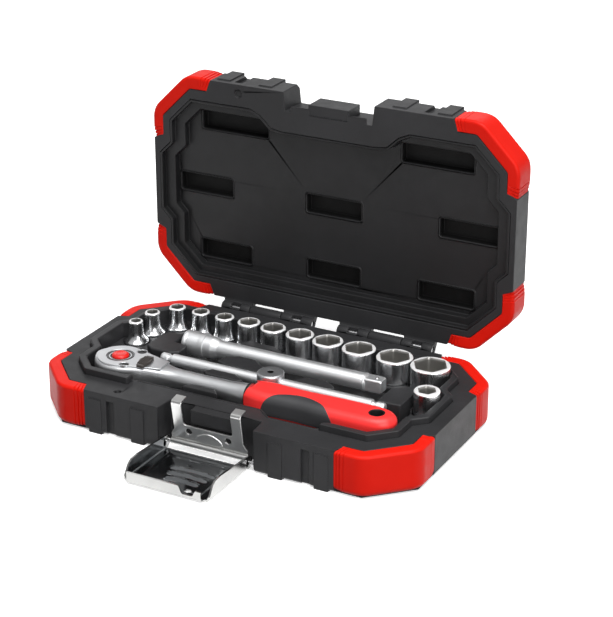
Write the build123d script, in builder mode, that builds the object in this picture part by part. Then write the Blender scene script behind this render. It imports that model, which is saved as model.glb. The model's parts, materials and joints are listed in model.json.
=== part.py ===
from build123d import *
import os
from math import cos, radians, sin

# A 1/4 inch socket wrench set in a hinged two-part plastic case, with the lid open at a
# right angle and the steel latch folded out.  Millimetres, +Z up, the latch side faces -Y.
# The origin is the centre of the case's footprint, on the plane that its skids rest on.

os.makedirs("parts", exist_ok=True)

# ---------------------------------------------------------------- case
case_width = 192.0
case_depth = 112.0
corner_cut = 19.0
rim_z = 20.5
seam_gap = 0.2
lid_height = 16.2
ridge_height = 1.2
skid_height = 0.5
band_depth = 2.0
band_gap = 3.2
floor_thickness = 1.1
wall = 3.6
rim_thickness = 2.4
shell_inset = 0.6
guard_thickness = 2.0
guard_low = 1.2
guard_lip = 1.2

half_width = case_width / 2
half_depth = case_depth / 2
floor_top = skid_height + floor_thickness
lid_z = rim_z + seam_gap
lid_top = lid_z + lid_height

# ---------------------------------------------------------------- hinge
hinge_y = 59.2
hinge_z = 19.5
knuckle_radius = 3.1
hinge_pin_radius = 1.5
running_gap = 0.05
knuckle_gap = 0.3
knuckle_ends = [7.0, 24.0, 41.0, 57.0]
lid_axis = Axis((0, hinge_y, hinge_z), (1, 0, 0))

# ---------------------------------------------------------------- tray and liner
skin = 1.2
fit_gap = 0.15
lip_height = 3.0
lip_gap = 49.0
well_floor = 12.5
shelf_top = 16.0
ledge_depth = 3.0
panel_depth = 6.8
pocket_depth = 11.0
pocket_length = 9.0

# ---------------------------------------------------------------- tools
drive_square = 6.35
square_hole = 6.45
socket_length = 24.0
socket_bottom = floor_top + skin + 0.1
drive_end_diameter = 11.8
nest_gap = 0.35

ratchet_y = -25.0
ratchet_z = 20.2
head_x = -63.0
head_radius = 12.0
head_top = 25.4
head_bottom = 13.0
cover_thickness = 1.4
selector_x = -47.5
grip_start = 6.0
grip_end = 78.0
grip_half_width = 8.4
grip_half_height = 6.2
hang_hole_x = 68.7
hang_hole_radius = 3.2

extension_y = 11.5
extension_z = 20.5
bar_y = -10.8
bar_z = 21.6
bar_radius = 2.75
bar_left = -49.5
bar_right = 66.0
slider_x = 8.3
slider_top = 26.8
slider_radius = 6.3

# ---------------------------------------------------------------- latch
notch_half = 23.2
notch_back = -45.5
lever_y = -54.0
lever_z = 3.8
lever_length = 36.5
lever_half = 21.5
lever_drop = 3.4
lever_flange = 8.0
sheet = 0.9
pivot_radius = 1.2
claw_offset = 2.2
claw_offset_angle = 10.0
claw_lean = 10.0
claw_half = 19.5
claw_pin_radius = 0.7
arm_inner = 12.5
arm_outer = 17.6
keeper_height = 1.0
claw_y = lever_y + claw_offset * cos(radians(claw_offset_angle))
claw_z = lever_z + claw_offset * sin(radians(claw_offset_angle))


# ---------------------------------------------------------------- shared outlines
def octagon(inset):
    """Corners of the case outline, moved inwards by inset."""
    x_side = half_width - inset
    y_side = half_depth - inset
    cut = corner_cut - inset * (2 - 2**0.5)
    quarter = [(x_side - cut, y_side), (x_side, y_side - cut)]
    right = [(x, -y) for x, y in quarter] + [(x, y) for x, y in reversed(quarter)]
    return mirrored(right)


def mirrored(points):
    """A right-hand half outline, listed from front to rear, closed by its mirror image."""
    return points + [(-x, y) for x, y in reversed(points)]


def plate(points, low, high, growth=0.0, mode=Mode.ADD):
    """A straight prism of a closed outline, grown by growth, in the part being built."""
    with BuildSketch(Plane.XY.offset(low)) as outline:
        with BuildLine():
            Polyline(*points, close=True)
        make_face()
        if growth:
            offset(amount=growth, kind=Kind.INTERSECTION)
    extrude(outline.sketch, amount=high - low, mode=mode)


def band(outer, inner, low, high, mode=Mode.ADD):
    """The prism between two closed outlines."""
    with BuildSketch(Plane.XY.offset(low)) as outline:
        with BuildLine():
            Polyline(*outer, close=True)
        make_face()
        with BuildLine():
            Polyline(*inner, close=True)
        make_face(mode=Mode.SUBTRACT)
    extrude(outline.sketch, amount=high - low, mode=mode)


def post(x, y, radius, low, high, mode=Mode.ADD):
    """An upright cylinder from level low to level high."""
    with BuildSketch(Plane.XY.offset(low)) as outline:
        with Locations((x, y)):
            Circle(radius)
    extrude(outline.sketch, amount=high - low, mode=mode)


def cross_rod(y, z, radius, start, end, mode=Mode.ADD):
    """A cylinder along X from start to end."""
    with BuildSketch(Plane.YZ.offset(start)) as outline:
        with Locations((y, z)):
            Circle(radius)
    extrude(outline.sketch, amount=end - start, mode=mode)


def save(part, name):
    """Label one finished piece and write it to its own file."""
    part.label = name
    export_step(part, f"parts/{name}.step")


def opened(part):
    """Turn a piece of the closed lid to its open place, a quarter turn back."""
    return part.rotate(lid_axis, -90)


# The raised lip round the tools, the well inside it, and the lid's recess and panel.
lip_outline = mirrored([
    (49.0, -36.2), (49.0, -41.4), (72.0, -41.4), (82.4, -31.0), (82.4, -18.6),
    (88.2, -12.8), (88.2, 11.8), (83.0, 17.0), (83.0, 30.2), (69.6, 43.6)])
well_sides = mirrored([
    (70.4, -37.6), (78.6, -29.4), (78.6, -17.0), (84.8, -10.8), (84.8, 10.6),
    (79.6, 15.8), (79.6, 28.8), (68.2, 40.2)])
finger_scoop = [(17.5, -35.0), (24.0, -40.2), (46.0, -40.2), (52.5, -37.6)]
well_outline = finger_scoop + well_sides + [(-52.0, -37.6), (-47.0, -35.0)]
recess_outline = mirrored([
    (24.0, -34.4), (31.0, -35.4), (37.0, -41.0), (42.0, -43.2), (74.0, -43.2),
    (85.2, -32.0), (85.2, -20.6), (91.2, -14.6), (91.2, 13.6), (86.0, 18.8),
    (86.0, 31.6), (72.6, 45.0)])
panel_outline = mirrored([
    (24.0, -34.4), (31.0, -35.4), (36.4, -39.6), (70.6, -39.6), (79.6, -30.6),
    (79.6, -19.4), (85.6, -13.4), (85.6, 11.6), (81.2, 16.0), (81.2, 31.5),
    (71.5, 41.2)])

# Raised pads that hold the tools: outline and top level.
pads = [
    ([(-62, -4), (-62, 10), (-58, 14), (-52, 14), (-51.5, 4.6), (-45, 4.6), (-44, -4),
      (-48, -7), (-58, -7)], 22.8),
    ([(-25, -34), (-22, -30.4), (-9, -30.4), (-6, -34)], 22.2),
    ([(-22.5, -18), (-20, -14.2), (-8, -14.2), (-1, -19), (-4, -20), (-20, -20)], 23.5),
    ([(-23, -5), (-22, 1), (-16, 4.4), (-8, 4.4), (0.5, -2), (0, -7), (-18, -7)], 23.2),
    ([(-24, 18), (-21, 21.8), (-7, 21.8), (0.5, 16.4), (-22, 16.4)], 22.8),
    ([(18, -6), (20.5, -1), (31, 0.6), (38, -4.5), (36, -7), (20, -7)], 22.8),
    ([(60, -7), (60, 8), (67, 13), (71.5, 12), (71.5, -7)], 22.6),
]

# Sockets: name, across flats, outside diameter of the hexagon end, x, y.
sockets = [
    ("04", 4.0, 6.8, -76.3, 9.1),
    ("04_5", 4.5, 7.4, -75.0, 21.8),
    ("05", 5.0, 8.2, -67.6, 32.8),
    ("05_5", 5.5, 8.8, -54.6, 33.2),
    ("06", 6.0, 9.4, -41.3, 33.2),
    ("07", 7.0, 11.0, -28.0, 33.4),
    ("08", 8.0, 12.2, -14.5, 32.9),
    ("09", 9.0, 13.5, 0.3, 32.2),
    ("10", 10.0, 14.7, 15.4, 31.6),
    ("11", 11.0, 16.0, 32.0, 30.9),
    ("12", 12.0, 17.2, 50.7, 30.3),
    ("13", 13.0, 18.5, 69.1, 29.5),
]
adapter_x = 78.9
adapter_y = 4.6
adapter_diameter = 12.0
nests = [(x, y, max(diameter, drive_end_diameter) / 2) for _, _, diameter, x, y in sockets]
nests.append((adapter_x, adapter_y, adapter_diameter / 2))

corners = [("front_left", -1, -1), ("front_right", 1, -1),
           ("rear_left", -1, 1), ("rear_right", 1, 1)]
skid_positions = [-57.5, -35.0, 35.0, 57.5]
skid_width = 7.0
groove_positions = [-49.5, 49.5]
groove_width = 4.0
groove_depth = 1.6


def guard_plan(x_sign, y_sign, inset):
    """Plan of one corner guard: its outer line, stood in by inset, and its edge on the rim."""
    end_x, end_y, slant = 63.0, 22.0, 2.6
    rim_x, rim_y = 90.2, 49.5
    rim_cut = 15.4
    x_side = half_width - inset
    y_side = half_depth - inset
    cut = corner_cut - inset * (2 - 2**0.5)
    front_x = end_x + slant * inset / (half_depth - rim_y)
    side_y = end_y + slant * inset / (half_width - rim_x)
    points = [(front_x, y_side), (x_side - cut, y_side), (x_side, y_side - cut),
              (x_side, side_y), (rim_x, end_y + slant), (rim_x, rim_y - rim_cut),
              (rim_x - rim_cut, rim_y), (end_x + slant, rim_y)]
    return [(x * x_sign, y * y_sign) for x, y in points]


def cut_guard_seats(low, rim, rim_side):
    """Take the room of all four guards out of the shell being built."""
    far = rim + rim_side
    for _, x_sign, y_sign in corners:
        plan = guard_plan(x_sign, y_sign, -1.0)
        face = rim - rim_side * guard_lip
        band(plan, octagon(guard_thickness), min(low, far), max(low, far), Mode.SUBTRACT)
        plate(plan, min(face, far), max(face, far), mode=Mode.SUBTRACT)


def guard(x_sign, y_sign, low, rim, rim_side):
    """One corner guard: a side band with a thin strip on the rim and stepped ends."""
    plan = guard_plan(x_sign, y_sign, 0.0)
    face = rim - rim_side * guard_lip
    with BuildPart() as piece:
        band(plan, octagon(guard_thickness), min(low, rim), max(low, rim))
        plate(plan, min(face, rim), max(face, rim))
        upright = piece.edges().filter_by(Axis.Z)
        outer = upright.filter_by(lambda edge: abs(edge.center().X) > half_width - 0.01
                                  or abs(edge.center().Y) > half_depth - 0.01)
        fillet(outer.filter_by(lambda edge: abs(edge.center().X) > 70
                               and abs(edge.center().Y) > 30), 5.0)
        for step in (1.6, 3.6):
            with BuildSketch(Plane.XY.offset(min(low, rim))) as grooves:
                with Locations((x_sign * (63.0 + step), y_sign * half_depth),
                               (x_sign * half_width, y_sign * (22.0 + step))):
                    Rectangle(0.7, 0.7)
            extrude(grooves.sketch, amount=abs(rim - low) - 1.2 * (rim_side > 0),
                    mode=Mode.SUBTRACT)
    return piece.part


# ---------------------------------------------------------------- case base
with BuildPart() as base_shell:
    plate(octagon(shell_inset), skid_height, rim_z)
    chamfer(base_shell.faces().sort_by(Axis.Z)[0].edges(), 1.2)
    with BuildSketch(Plane.XY.offset(floor_top)) as cavity:
        with BuildLine():
            Polyline(*octagon(wall), close=True)
        make_face()
        with Locations((0, -half_depth)):
            Rectangle(2 * notch_half + 4, 2 * (half_depth + notch_back + 2),
                      mode=Mode.SUBTRACT)
    extrude(cavity.sketch, amount=rim_z - rim_thickness - floor_top, mode=Mode.SUBTRACT)
    # opening in the rim for the tray
    plate(lip_outline, floor_top, rim_z, fit_gap, Mode.SUBTRACT)
    plate(well_outline, floor_top, rim_z, skin + fit_gap, Mode.SUBTRACT)
    # notch for the latch, open at the front, the top and the underside
    plate([(-notch_half - 1.2, -half_depth - 1), (-notch_half, notch_back),
           (notch_half, notch_back), (notch_half + 1.2, -half_depth - 1)],
          0, rim_z + 1, mode=Mode.SUBTRACT)
    # block between the claw's arms
    plate([(-10.5, notch_back + 0.5), (-10.5, -50.3), (10.5, -50.3), (10.5, notch_back + 0.5)],
          13.8, 20.3)
    # upright grooves in the front wall
    with BuildSketch(Plane.XY) as grooves:
        with Locations(*[(x, shell_inset - half_depth) for x in groove_positions]):
            Rectangle(groove_width, 2 * groove_depth)
    extrude(grooves.sketch, amount=rim_z - 3.2, mode=Mode.SUBTRACT)
    # skids under the floor
    with BuildSketch(Plane.XY) as skids:
        with Locations(*[(x, -4) for x in skid_positions]):
            Rectangle(skid_width, case_depth - 8)
        SlotOverall(case_depth - 34, skid_width, rotation=90)
    extrude(skids.sketch, amount=skid_height + 0.3)
    # bands up the front wall, in line with the skids
    with BuildSketch(Plane.XY.offset(skid_height)) as bands:
        with Locations(*[(x, band_depth / 2 - half_depth) for x in skid_positions]):
            Rectangle(skid_width, band_depth)
    extrude(bands.sketch, amount=rim_z - skid_height - band_gap)
    # moulding mark in the rim
    post(-48.5, -49.8, 1.6, rim_z - 1.0, rim_z, Mode.SUBTRACT)
    cut_guard_seats(guard_low, rim_z, 1)
    # middle hinge knuckles with their webs
    for side in (-1, 1):
        span = sorted([side * knuckle_ends[1], side * knuckle_ends[2]])
        with BuildSketch(Plane.YZ.offset(span[0])) as knuckle:
            with Locations((hinge_y, hinge_z)):
                Circle(knuckle_radius)
            with BuildLine():
                Polyline((half_depth - 1, hinge_z - 6), (half_depth - 1, hinge_z - 0.4),
                         (hinge_y, hinge_z), (hinge_y + 2.1, hinge_z - 2.1), close=True)
            make_face()
        extrude(knuckle.sketch, amount=span[1] - span[0])
        cross_rod(hinge_y, hinge_z, hinge_pin_radius + running_gap, span[0], span[1],
                  Mode.SUBTRACT)
        # seats of the lever's pivot pins in the notch's cheeks
        pin_span = sorted([side * (notch_half - 1), side * (notch_half + 4)])
        cross_rod(lever_y, lever_z, pivot_radius, pin_span[0], pin_span[1], Mode.SUBTRACT)
save(base_shell.part, "base_shell")

with BuildPart() as tool_tray:
    # raised lip on three sides and the skin of the well
    plate(lip_outline, rim_z - rim_thickness, rim_z + lip_height)
    plate(well_outline, well_floor - skin, rim_z, skin)
    plate(well_outline, well_floor, rim_z + lip_height, mode=Mode.SUBTRACT)
    # the lip stays level with the rim across the front, where the lid comes down behind the latch
    plate([(-lip_gap, -42), (lip_gap, -42), (lip_gap, -34), (-lip_gap, -34)], rim_z,
          rim_z + lip_height, mode=Mode.SUBTRACT)
    # shelf that the sockets stand in
    plate([(-84, -10.4), (-84, 10), (-79.2, 15), (-79.2, 28.4), (-67.8, 39.8), (67.8, 39.8),
           (79.2, 28.4), (79.2, 15.6), (84.4, 10.4), (84.4, -6), (74, -6), (72, 12), (60, 17),
           (54, 20), (8, 20), (4, 22.5), (-24, 22.5), (-34, 24), (-60, 24), (-66, 16),
           (-66, -6), (-72, -10.4)], well_floor - 0.2, shelf_top, 0.6)
    for outline, top in pads:
        plate(outline, well_floor - 0.2, top)
    # cups of the standing tools, down to the base's floor
    for x, y, radius in nests:
        post(x, y, radius + nest_gap + skin, floor_top, shelf_top)
    # cups for the ratchet's drive and the T-handle's drive
    post(head_x, ratchet_y, 8.0, floor_top + skin, well_floor)
    post(slider_x, bar_y, slider_radius + 1.6, floor_top + skin, well_floor)
    for x, y, radius in nests:
        post(x, y, radius + nest_gap, floor_top + skin, rim_z + lip_height, Mode.SUBTRACT)
    post(head_x, ratchet_y, 6.4, floor_top + 2 * skin, well_floor + 0.5, Mode.SUBTRACT)
    post(slider_x, bar_y, slider_radius + 0.4, floor_top + 2 * skin, rim_z, Mode.SUBTRACT)
save(tool_tray.part, "tool_tray")

for name, x_sign, y_sign in corners:
    save(guard(x_sign, y_sign, guard_low, rim_z, 1), f"base_guard_{name}")

# ---------------------------------------------------------------- lid, modelled closed
with BuildPart() as lid_shell:
    plate(octagon(shell_inset), lid_z, lid_top)
    chamfer(lid_shell.faces().sort_by(Axis.Z)[-1].edges(), 2.0)
    with BuildSketch(Plane.XY.offset(lid_z + rim_thickness)) as cavity:
        with BuildLine():
            Polyline(*octagon(wall), close=True)
        make_face()
        with Locations((0, -half_depth)):
            Rectangle(2 * notch_half + 4, 2 * (half_depth + notch_back + 1.5),
                      mode=Mode.SUBTRACT)
    extrude(cavity.sketch, amount=lid_height - rim_thickness - 1.8, mode=Mode.SUBTRACT)
    plate(recess_outline, lid_z, lid_z + rim_thickness, skin + fit_gap, Mode.SUBTRACT)
    # notch for the latch, with a block and two keeper ledges for the claw's hooks
    plate([(-notch_half - 0.6, -half_depth - 1), (-notch_half + 0.6, notch_back - 0.5),
           (notch_half - 0.6, notch_back - 0.5), (notch_half + 0.6, -half_depth - 1)],
          lid_z - 1, lid_top + 3, mode=Mode.SUBTRACT)
    plate([(-10.5, notch_back), (-10.5, -51.0), (10.5, -51.0), (10.5, notch_back)],
          lid_z + 0.4, lid_z + 12.5)
    for side in (-1, 1):
        plate([(side * 10.0, notch_back), (side * 10.0, -48.9), (side * 19.6, -48.9),
               (side * 19.6, notch_back)], lid_z, lid_z + keeper_height)
    # ridges across the lid, in line with the skids
    with BuildSketch(Plane.XY.offset(lid_top - 0.3)) as ridges:
        with Locations(*[(x, -4) for x in skid_positions]):
            Rectangle(skid_width, case_depth - 8)
    extrude(ridges.sketch, amount=ridge_height + 0.3)
    with BuildSketch(Plane.XY.offset(lid_z + 3.2)) as grooves:
        with Locations(*[(x, shell_inset - half_depth) for x in groove_positions]):
            Rectangle(groove_width, 2 * groove_depth)
    extrude(grooves.sketch, amount=lid_height, mode=Mode.SUBTRACT)
    # bands up the front wall, in line with the ridges
    with BuildSketch(Plane.XY.offset(lid_z + band_gap)) as bands:
        with Locations(*[(x, band_depth / 2 - half_depth) for x in skid_positions]):
            Rectangle(skid_width, band_depth)
    extrude(bands.sketch, amount=lid_height - band_gap + ridge_height)
    post(-48.0, -51.0, 2.0, lid_z, lid_z + 1.0, Mode.SUBTRACT)
    cut_guard_seats(lid_z + lid_height - 0.8, lid_z, -1)
    # outer hinge knuckles, two in each group, with windows that show the pin
    for side in (-1, 1):
        for near, far in ((knuckle_ends[0], knuckle_ends[1] - knuckle_gap),
                          (knuckle_ends[2] + knuckle_gap, knuckle_ends[3])):
            span = sorted([side * near, side * far])
            with BuildSketch(Plane.YZ.offset(span[0])) as knuckle:
                with Locations((hinge_y, hinge_z)):
                    Circle(knuckle_radius)
                with BuildLine():
                    Polyline((half_depth - 1, lid_z + 5), (half_depth - 1, lid_z),
                             (hinge_y, hinge_z), (hinge_y + 2.1, hinge_z + 2.1), close=True)
                make_face()
            extrude(knuckle.sketch, amount=span[1] - span[0])
            cross_rod(hinge_y, hinge_z, hinge_pin_radius, span[0], span[1], Mode.SUBTRACT)
            middle = (span[0] + span[1]) / 2
            with Locations((middle, hinge_y - 2.6, hinge_z - 1.6)):
                Box(5.0, 3.2, 3.2, mode=Mode.SUBTRACT)
save(opened(lid_shell.part), "lid_shell")

pockets = [(side * 53.3, -33.4, 36.0) for side in (-1, 1)]
pockets += [(x, 0.0, 29.0) for x in (-69.8, 0.0, 69.8)]
pockets += [(x, 33.4, 28.0) for x in (-59.3, 0.0, 59.3)]
with BuildPart() as lid_liner:
    plate(recess_outline, lid_z, lid_z + ledge_depth + skin, skin)
    plate(panel_outline, lid_z, lid_z + panel_depth + skin, skin)
    for x, y, width in pockets:
        with BuildSketch(Plane.XY.offset(lid_z + panel_depth)) as boxes:
            with Locations((x, y)):
                RectangleRounded(width + 2 * skin, pocket_length + 2 * skin, 1.6)
        extrude(boxes.sketch, amount=pocket_depth - panel_depth + skin)
    plate(recess_outline, lid_z, lid_z + ledge_depth, mode=Mode.SUBTRACT)
    plate(panel_outline, lid_z, lid_z + panel_depth, mode=Mode.SUBTRACT)
    for x, y, width in pockets:
        with BuildSketch(Plane.XY.offset(lid_z + panel_depth - 0.4)) as rims:
            with Locations((x, y)):
                RectangleRounded(width + 1.6, pocket_length + 1.6, 1.4)
        extrude(rims.sketch, amount=0.5)
        with BuildSketch(Plane.XY.offset(lid_z + panel_depth - 1)) as boxes:
            with Locations((x, y)):
                RectangleRounded(width, pocket_length, 0.8)
        extrude(boxes.sketch, amount=pocket_depth - panel_depth + 1, mode=Mode.SUBTRACT)
save(opened(lid_liner.part), "lid_liner")

for name, x_sign, y_sign in corners:
    piece = guard(x_sign, y_sign, lid_z + lid_height - 0.8, lid_z, -1)
    save(opened(piece), f"lid_guard_{name}")

for name, side in (("left", -1), ("right", 1)):
    span = sorted([side * (knuckle_ends[0] + 0.6), side * (knuckle_ends[3] - 0.6)])
    with BuildPart() as hinge_pin:
        cross_rod(hinge_y, hinge_z, hinge_pin_radius, span[0], span[1])
        chamfer(hinge_pin.edges().filter_by(GeomType.CIRCLE), 0.3)
    save(hinge_pin.part, f"hinge_pin_{name}")

# ---------------------------------------------------------------- latch
plate_low = lever_z - lever_drop
lip_y = lever_y - lever_length
with BuildPart() as latch_lever:
    # cover sheet
    plate([(-lever_half, lever_y - 1.0), (-lever_half, lip_y + 3), (-lever_half + 3, lip_y),
           (lever_half - 3, lip_y), (lever_half, lip_y + 3), (lever_half, lever_y - 1.0)],
          plate_low, plate_low + sheet)
    # side flanges with round pivot ears
    for start in (-lever_half, lever_half - sheet):
        with BuildSketch(Plane.YZ.offset(start)) as flange:
            with BuildLine():
                Polyline((lever_y - 1.0, plate_low), (lever_y - 1.0, lever_z + 2.8),
                         (lip_y + 12, plate_low + lever_flange), (lip_y + 5, plate_low + 6.6),
                         (lip_y + 3, plate_low), close=True)
            make_face()
            with Locations((lever_y, lever_z)):
                Circle(3.0)
                Circle(pivot_radius + running_gap, mode=Mode.SUBTRACT)
        extrude(flange.sketch, amount=sheet)
    # lip across the end, with a notch for a finger
    with BuildSketch(Plane.XZ.offset(-lip_y)) as lip:
        with BuildLine():
            Polyline((-lever_half + 3, plate_low), (-lever_half + 3, plate_low + 6.0),
                     (8.0, plate_low + 6.0), (9.5, plate_low + 2.4), (15.5, plate_low + 2.4),
                     (17.0, plate_low + 6.0), (lever_half - 3, plate_low + 5.0),
                     (lever_half - 3, plate_low), close=True)
        make_face()
    extrude(lip.sketch, amount=-sheet)
    # stiffening ribs pressed into the cover
    for reach in (10.0, 15.0, 20.0):
        with BuildSketch(Plane.XY.offset(plate_low + sheet - 0.1)) as rib:
            with Locations((2.0, lever_y - 4.0 - reach)):
                SlotOverall(24.0 - 0.4 * reach, 2.6)
        extrude(rib.sketch, amount=0.6)
    post(9.0, lip_y + 5.5, 1.6, 0, 3, Mode.SUBTRACT)
    with BuildSketch(Plane.YZ.offset(-lever_half)) as pin_holes:
        with Locations((claw_y, claw_z)):
            Circle(claw_pin_radius)
    extrude(pin_holes.sketch, amount=2 * lever_half, mode=Mode.SUBTRACT)
save(latch_lever.part, "latch_lever")

with BuildPart() as latch_pivot_pins:
    for side in (-1, 1):
        span = sorted([side * (lever_half - 1.3), side * (notch_half + 3.4)])
        cross_rod(lever_y, lever_z, pivot_radius, span[0], span[1])
save(latch_pivot_pins.part, "latch_pivot_pins")

with BuildPart() as claw_pin:
    cross_rod(claw_y, claw_z, claw_pin_radius, -lever_half, lever_half)
save(claw_pin.part, "claw_pin")

# The claw is drawn upright round its pin, then leant outwards about it.
hook_z = lid_z + keeper_height + 0.35 - (lever_z - claw_offset * cos(radians(claw_offset_angle)))
roll_radius = 1.5
claw_plane = Plane(origin=(0, claw_y, claw_z), x_dir=(1, 0, 0),
                   z_dir=(0, -cos(radians(claw_lean)), -sin(radians(claw_lean))))
with BuildPart() as latch_claw:
    with BuildSketch(claw_plane.offset(-roll_radius)) as blade:
        with BuildLine():
            Polyline((-claw_half, 0.2), (-claw_half, 3.6), (-arm_outer, 6.0),
                     (-arm_outer, hook_z + sheet), (-arm_inner, hook_z + sheet),
                     (-arm_inner, 9.4), (arm_inner, 9.4), (arm_inner, hook_z + sheet),
                     (arm_outer, hook_z + sheet), (arm_outer, 6.0), (claw_half, 3.6),
                     (claw_half, 0.2), close=True)
        make_face()
        with Locations((-10, 6.4), (10, 6.4)):
            Circle(1.6, mode=Mode.SUBTRACT)
    extrude(blade.sketch, amount=sheet)
    # hooks at the top of the arms, turned back towards the case
    with BuildSketch(claw_plane.offset(-roll_radius - 4.4)) as hooks:
        for x in (-(arm_inner + arm_outer) / 2, (arm_inner + arm_outer) / 2):
            with Locations((x, hook_z + sheet / 2)):
                Rectangle(arm_outer - arm_inner, sheet)
    extrude(hooks.sketch, amount=4.5)
    # rolled lower edge round the pin
    cross_rod(claw_y, claw_z, roll_radius, -claw_half, claw_half)
    cross_rod(claw_y, claw_z, claw_pin_radius + running_gap, -claw_half, claw_half,
              Mode.SUBTRACT)
save(latch_claw.part, "latch_claw")

# ---------------------------------------------------------------- standing tools
hex_depth = 10.0
square_depth = 9.5
step_start = 7.5
flare_start = 13.2
flare_end = 18.8


def socket(across_flats, diameter, x, y):
    """One socket, standing on its drive end."""
    radius = diameter / 2
    slim = diameter < drive_end_diameter
    foot = drive_end_diameter / 2 if slim else radius - 0.9
    foot_top = flare_start if slim else step_start
    with BuildPart() as piece:
        with BuildSketch(Plane.XZ) as profile:
            with BuildLine():
                Polyline((0, 0), (foot - 0.4, 0), (foot, 0.4), (foot, foot_top))
                if slim:
                    Spline((foot, flare_start), (radius, flare_end), tangents=((0, 1), (0, 1)))
                else:
                    Polyline((foot, step_start), (radius, step_start + 2.0), (radius, flare_end))
                Polyline((radius, flare_end), (radius, socket_length - 0.5),
                         (radius - 0.5, socket_length), (0, socket_length), (0, 0))
            make_face()
        revolve(profile.sketch, axis=Axis.Z)
        with BuildSketch(Plane.XY.offset(socket_length)) as hexagon:
            RegularPolygon(across_flats / 2, 6, major_radius=False)
        extrude(hexagon.sketch, amount=-hex_depth, mode=Mode.SUBTRACT)
        with BuildSketch(Plane.XY.offset(socket_length)) as mouth:
            Circle(across_flats / 2 + 0.45)
        extrude(mouth.sketch, amount=-0.8, taper=30, mode=Mode.SUBTRACT)
        with BuildSketch(Plane.XY) as square:
            Rectangle(square_hole, square_hole)
        extrude(square.sketch, amount=square_depth, mode=Mode.SUBTRACT)
        post(0, 0, min(across_flats, drive_square) / 2 - 0.6, 0, socket_length, Mode.SUBTRACT)
    return piece.part.moved(Location((x, y, socket_bottom)))


for name, across_flats, diameter, x, y in sockets:
    save(socket(across_flats, diameter, x, y), f"socket_{name}_mm")
save(socket(6.35, adapter_diameter, adapter_x, adapter_y), "bit_adapter")

# ---------------------------------------------------------------- extension bar
with BuildPart() as extension_bar:
    with BuildSketch(Plane.XY.offset(extension_z)) as profile:
        with BuildLine():
            Polyline((-49.5, extension_y), (-49.5, extension_y + 5.4),
                     (-49.0, extension_y + 5.9), (-34.0, extension_y + 5.9),
                     (-31.0, extension_y + 4.2), (40.0, extension_y + 4.0),
                     (44.6, extension_y + 4.0), (46.2, extension_y + 3.2),
                     (46.2, extension_y), close=True)
        make_face()
    revolve(profile.sketch, axis=Axis((0, extension_y, extension_z), (1, 0, 0)))
    with BuildSketch(Plane.YZ.offset(40)) as tang:
        with Locations((extension_y, extension_z)):
            RectangleRounded(drive_square, drive_square, 0.7)
    extrude(tang.sketch, amount=14.3)
    chamfer(extension_bar.faces().sort_by(Axis.X)[-1].edges(), 0.5)
    with BuildSketch(Plane.YZ.offset(-50)) as square:
        with Locations((extension_y, extension_z)):
            Rectangle(square_hole, square_hole)
    extrude(square.sketch, amount=10, mode=Mode.SUBTRACT)
    post(51.0, extension_y, 1.3, extension_z, extension_z + 4, Mode.SUBTRACT)
save(extension_bar.part, "extension_bar")

with BuildPart() as extension_ball:
    with Locations((51.0, extension_y, extension_z + 2.5)):
        Sphere(1.25)
save(extension_ball.part, "extension_ball")

# ---------------------------------------------------------------- sliding T-handle
with BuildPart() as t_bar:
    with BuildSketch(Plane.XY.offset(bar_z)) as profile:
        with BuildLine():
            Polyline((bar_left, bar_y), (bar_left, bar_y + 1.6), (bar_left + 1.2, bar_y + 2.4),
                     (bar_left + 4.0, bar_y + 2.4), (bar_left + 4.4, bar_y + 1.9),
                     (bar_left + 6.0, bar_y + 1.9), (bar_left + 6.4, bar_y + bar_radius),
                     (bar_right - 6.4, bar_y + bar_radius), (bar_right - 6.0, bar_y + 1.9),
                     (bar_right - 4.4, bar_y + 1.9), (bar_right - 4.0, bar_y + 2.4),
                     (bar_right - 1.2, bar_y + 2.4), (bar_right, bar_y + 1.6),
                     (bar_right, bar_y), close=True)
        make_face()
    revolve(profile.sketch, axis=Axis((0, bar_y, bar_z), (1, 0, 0)))
save(t_bar.part, "t_bar")

with BuildPart() as t_bar_slider:
    post(slider_x, bar_y, slider_radius, 15.5, slider_top)
    chamfer(t_bar_slider.edges().filter_by(GeomType.CIRCLE), 0.5)
    with BuildSketch(Plane.XY.offset(8.0)) as tang:
        with Locations((slider_x, bar_y)):
            RectangleRounded(drive_square, drive_square, 0.7)
    extrude(tang.sketch, amount=8.0)
    cross_rod(bar_y, bar_z, bar_radius + running_gap, 0, 20, Mode.SUBTRACT)
    post(slider_x, bar_y, 1.3, 24.4, slider_top, Mode.SUBTRACT)
    cross_rod(bar_y, 11.0, 1.3, slider_x + 0.4, slider_x + 4, Mode.SUBTRACT)
save(t_bar_slider.part, "t_bar_slider")

with BuildPart() as slider_ball:
    with Locations((slider_x + 2.5, bar_y, 11.0)):
        Sphere(1.25)
save(slider_ball.part, "slider_ball")

# ---------------------------------------------------------------- ratchet
cover_z = head_top - cover_thickness
gear_radius = 8.0
gear_teeth = 30
collar_radius = 6.2
button_radius = 4.6
button_hole = 4.7
stem_radius = 1.4
button_seat = 21.0
screw_places = [(-56.0, ratchet_y - 7.8), (-56.0, ratchet_y + 7.8)]
screw_depth = 3.0


def head_plan(growth):
    """The head's tear-drop plan, grown by growth."""
    with BuildSketch() as plan:
        with Locations((head_x, ratchet_y)):
            Circle(head_radius + growth)
        with BuildLine():
            Polyline((head_x, ratchet_y - head_radius - growth),
                     (head_x + 6.0, ratchet_y - 11.2 - growth),
                     (-45.0, ratchet_y - 7.2 - growth), (-36.0, ratchet_y - 4.6 - growth),
                     (-36.0, ratchet_y + 4.6 + growth), (-45.0, ratchet_y + 7.2 + growth),
                     (head_x + 6.0, ratchet_y + 11.2 + growth),
                     (head_x, ratchet_y + head_radius + growth), close=True)
        make_face()
    return plan.sketch


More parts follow.
